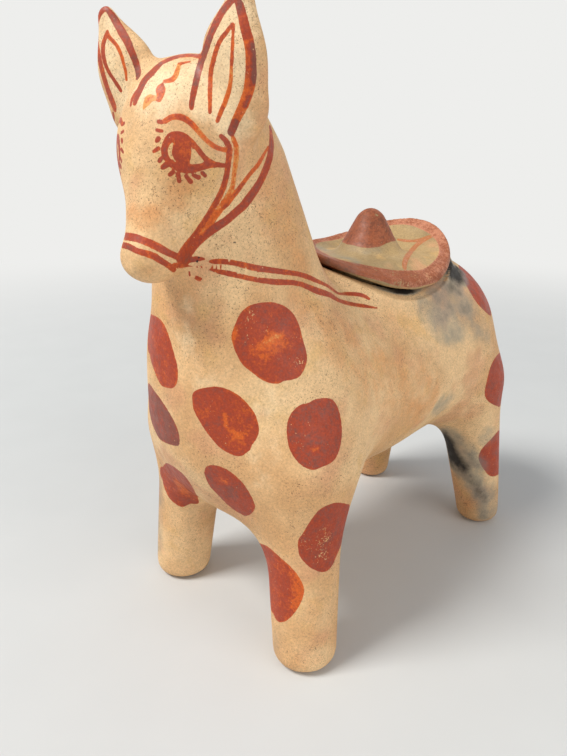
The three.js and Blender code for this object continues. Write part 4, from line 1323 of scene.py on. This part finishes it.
def clay_colour(graph, light, dark, grit_share):
    """Bare fired clay: cloudy cream and tan, mottled, with dark grit and fine cracks."""
    colour = graph.mix(graph.step(graph.noise(42, 2), 0.38, 0.64), light, dark)
    colour = graph.mix(graph.step(graph.noise(27, 2, 0.6), 0.5, 0.7, 0.0, 0.75), colour, PINK)
    colour = graph.mix(graph.step(graph.noise(19, 3, 0.6), 0.54, 0.72, 0.0, 0.5), colour, STRAW)
    tint = graph.math("ADD", graph.layer("tint"), graph.step(graph.noise(11, 3, 0.6), 0.3, 0.7, -0.3, 0.3))
    colour = graph.mix(graph.step(tint, -0.1, -1.1, 0.0, 0.85), colour, PALE)
    colour = graph.mix(graph.step(tint, 0.15, 1.2, 0.0, 0.8), colour, WARM)
    colour = scaled(graph, colour, graph.step(graph.noise(7, 4, 0.7), 0.3, 0.7, 0.94, 1.05))
    colour = scaled(graph, colour, graph.step(graph.noise(1.1, 3, 0.7), 0.3, 0.7, 0.86, 1.1))
    dense = graph.step(graph.noise(34, 1), 0.38, 0.6, 0.4 * grit_share, grit_share)
    grit = graph.step(graph.noise(0.7, 3, 0.7), 0.57, 0.7)
    colour = graph.mix(graph.times(grit, dense), colour, GRIT_BROWN)
    fine = graph.times(dots(graph, 1.3, 0.15, 0.42), graph.times(dense, 0.6))
    colour = graph.mix(fine, colour, GRIT_BROWN)
    coarse = graph.times(dots(graph, 3.6, 0.08, 0.56), graph.times(dense, 0.7))
    colour = graph.mix(coarse, colour, GRIT_BROWN)
    cracks = graph.times(hairlines(graph, 6, 0.014), graph.times(dense, 0.6))
    return graph.mix(cracks, colour, GRIT_BROWN)


def paint_colour(graph, tone, tones):
    """Slip paint in its four tones, thin in one place and thick in the next."""
    wide = graph.step(graph.noise(8, 3, 0.6), 0.3, 0.7, -0.3, 0.3)
    small = graph.step(graph.noise(1.7, 3, 0.7), 0.3, 0.7, -0.36, 0.36)
    tone = graph.math("ADD", tone, graph.math("ADD", wide, small))
    purple, red, orange, ochre = tones
    colour = graph.mix(graph.step(tone, -1.0, 0.0), purple, red)
    colour = graph.mix(graph.step(tone, 0.0, 1.0), colour, orange)
    colour = graph.mix(graph.step(tone, 1.0, 2.0), colour, ochre)
    return scaled(graph, colour, graph.step(graph.noise(1.0, 4, 0.75), 0.3, 0.72, 0.8, 1.14))


def painted_coat(graph, clay, tones, wear):
    """Clay with its painted areas, worn places, smoke marks, painted shade, the lid's painted highlight and
    specks, from the mesh's floats.
    """
    ripple = graph.math("MULTIPLY_ADD", graph.noise(1.4, 3, 0.6), 0.5, -0.25)
    area = graph.math("ADD", graph.layer("area"), ripple)
    painted = graph.step(area, 0.13, -0.13)
    rim = graph.step(area, -1.1, -0.2, 0.0, 0.3)
    tone = graph.math("ADD", graph.layer("tone"), rim)
    wear_and_highlight = graph.math("MULTIPLY_ADD", graph.layer("wear_and_highlight"), 0.2, wear)
    flecks = graph.step(graph.math("ADD", graph.noise(0.9, 2, 0.6), wear_and_highlight), 0.72, 0.79)
    pits = dots(graph, 2.6, 0.085, 0.56)
    bare = graph.math("MAXIMUM", flecks, pits)
    painted = graph.times(painted, graph.math("MULTIPLY_ADD", bare, -0.85, 1.0))
    colour = graph.mix(painted, clay, paint_colour(graph, tone, tones))
    drift = graph.step(graph.noise(10, 4, 0.6), 0.3, 0.7, -0.12, 0.12)
    drift = graph.times(drift, graph.step(graph.layer("smoke_and_shade"), 0.0, 0.3))
    smoke_and_shade = graph.math("ADD", graph.layer("smoke_and_shade"), drift)
    # this layer holds firing smoke and painted shade: the groove and gap under the brim, and shaded places
    # on the lid
    colour = graph.mix(graph.step(smoke_and_shade, 0.0, 0.6, 0.0, 0.68), colour, SMOKE_AND_SHADE_GREY)
    colour = graph.mix(graph.step(smoke_and_shade, 0.45, 0.95, 0.0, 0.97), colour, SMOKE_AND_SHADE_BLACK)
    speck = graph.math("MULTIPLY_ADD", ripple, 1.5, graph.layer("speck"))
    colour = graph.mix(graph.step(speck, 0.15, -0.15), colour, SMOKE_AND_SHADE_BLACK)
    roughness = graph.step(graph.noise(5, 3), 0.3, 0.7, 0.5, 0.68)
    roughness = graph.math("MULTIPLY_ADD", painted, -0.08, roughness)
    grain = graph.math("MULTIPLY_ADD", graph.noise(5.5, 2), 1.5, graph.noise(0.9, 3, 0.65))
    height = graph.math("MULTIPLY_ADD", painted, 0.35, grain)
    return graph.surface(colour, roughness, height, 0.14)


def painted_clay(name):
    graph = Graph(bpy.data.materials.new(name))
    clay = clay_colour(graph, CREAM, TAN, 0.95)
    tones = srgb(134, 72, 58), srgb(168, 64, 34), srgb(212, 96, 30), srgb(224, 154, 80)
    return painted_coat(graph, clay, tones, 0.01)


def lid_clay():
    graph = Graph(bpy.data.materials.new("painted_lid_clay"))
    # clay colours darkened with painted shade
    clay = clay_colour(graph, LID_OLIVE_SHADED, LID_CREAM_SHADED, 0.5)
    tones = srgb(116, 62, 38), srgb(152, 82, 48), srgb(196, 130, 98), srgb(180, 112, 62)
    return painted_coat(graph, clay, tones, 0.045)


def floor_material():
    graph = Graph(bpy.data.materials.new("pale_floor"))
    away = graph.node("ShaderNodeVectorMath", {0: graph.place()}, operation="LENGTH").outputs["Value"]
    colour = graph.mix(graph.noise(60, 3), srgb(206, 208, 207), srgb(212, 214, 213))
    shader = graph.node("ShaderNodeBsdfPrincipled", {"Base Color": colour, "Roughness": 0.7})
    glow = graph.node("ShaderNodeEmission", {"Color": BACKDROP, "Strength": 1.0})
    share = graph.times(graph.step(away, 350, 1500), graph.seen_rays())
    both = graph.node("ShaderNodeMixShader", {0: share, 1: shader.outputs[0], 2: glow.outputs[0]})
    graph.node("ShaderNodeOutputMaterial", {"Surface": both.outputs[0]})
    return graph.owner


# Scene

def put_at(made, axes, place):
    matrix = np.eye(4)
    matrix[:3, :3] = np.column_stack(axes)
    matrix[:3, 3] = column(place) * MM
    made.matrix_world = Matrix(matrix)
    put_in_scene(made)


def make_camera():
    camera = bpy.data.objects.new("photo_camera", bpy.data.cameras.new("photo_camera"))
    camera.data.sensor_width = SENSOR
    camera.data.lens = FOCAL_PIXELS / PHOTO_HEIGHT * SENSOR
    camera.data.clip_start = 0.01
    put_at(camera, [RIGHT, UP, -AHEAD], CAMERA_PLACE)
    bpy.context.scene.camera = camera


def make_lamp(name, place, side, power, colour):
    """A square soft box aimed at the middle of the object."""
    lamp = bpy.data.objects.new(name, bpy.data.lights.new(name, "AREA"))
    lamp.data.size = side
    lamp.data.energy = power
    lamp.data.color = colour
    back = unit(column(place) - LAMP_AIM)
    level = unit(np.cross([0, 0, 1], back))
    put_at(lamp, [level, np.cross(back, level), back], place)


def make_world():
    world = bpy.data.worlds.new("pale_studio")
    graph = Graph(world)
    light = graph.node("ShaderNodeBackground", {"Color": SKY, "Strength": SKY_LIGHT})
    backdrop = graph.node("ShaderNodeBackground", {"Color": BACKDROP, "Strength": 1.0})
    seen = graph.seen_rays()
    both = graph.node("ShaderNodeMixShader", {0: seen, 1: light.outputs[0], 2: backdrop.outputs[0]})
    graph.node("ShaderNodeOutputWorld", {"Surface": both.outputs[0]})
    bpy.context.scene.world = world


def make_floor():
    mesh = bpy.data.meshes.new("floor")
    corners = [(x * FLOOR_REACH, y * FLOOR_REACH, 0) for x, y in ((-1, -1), (1, -1), (1, 1), (-1, 1))]
    mesh.from_pydata(corners, [], [(0, 1, 2, 3)])
    floor = put_in_scene(bpy.data.objects.new("floor", mesh))
    floor.location.z = -FLOOR_DROP
    mesh.materials.append(floor_material())


def make_donkey():
    mesh = clay_mesh("donkey_clay", clay_distance, *CAD_BOX, CLAY_CELL)
    points = points_of(mesh)
    coarse = (points[:, 2] < FINE_FLOOR_Z) | (points[:, 1] > FINE_BACK_Y)
    share = rim_share(points)
    below = underside(points[:, 0], points[:, 1]) - points[:, 2]
    inner, outer = FINE_RIM_SHARES
    by_rim = (share > inner) & (share < outer) & (below < FINE_RIM_DEPTH)
    coarse = (coarse & ~by_rim).astype(float)
    refine(mesh, lowest_on_faces(mesh, coarse) == 0, clay_distance)
    paint = Paint(mesh, clay_distance)
    lay_spots(paint)
    lay_strokes(paint)
    refine(mesh, lowest_on_faces(mesh, np.abs(paint.area)) < FINE_NEAR_STROKES, clay_distance)
    paint_donkey(Paint(mesh, clay_distance))
    set_points(mesh, kept_in_cad_box(points_of(mesh)))
    donkey = show("donkey_clay", mesh)
    mesh.materials.append(painted_clay("painted_clay"))
    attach(donkey, "donkey")
    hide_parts(*frame["record"]["behaviour"]["bodies"]["donkey"])


def make_lid():
    low = column([*(MOUTH - BRIM_RADII), FLANGE_BOTTOM_Z])
    high = column([*(MOUTH + BRIM_RADII), BRIM_FLOOR_Z + CROWN_HEIGHT])
    mesh = clay_mesh("lid_clay", lid_distance, low, high, LID_CELL)
    paint_lid(Paint(mesh, lid_distance))
    lid = show("lid_clay", mesh)
    mesh.materials.append(lid_clay())
    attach(lid, "lid")
    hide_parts(*frame["record"]["behaviour"]["bodies"]["lid"])


make_camera()
make_world()
for lamp in LAMPS:
    make_lamp(*lamp)
make_floor()
make_donkey()
make_lid()
bpy.context.scene.view_settings.view_transform = "Standard"
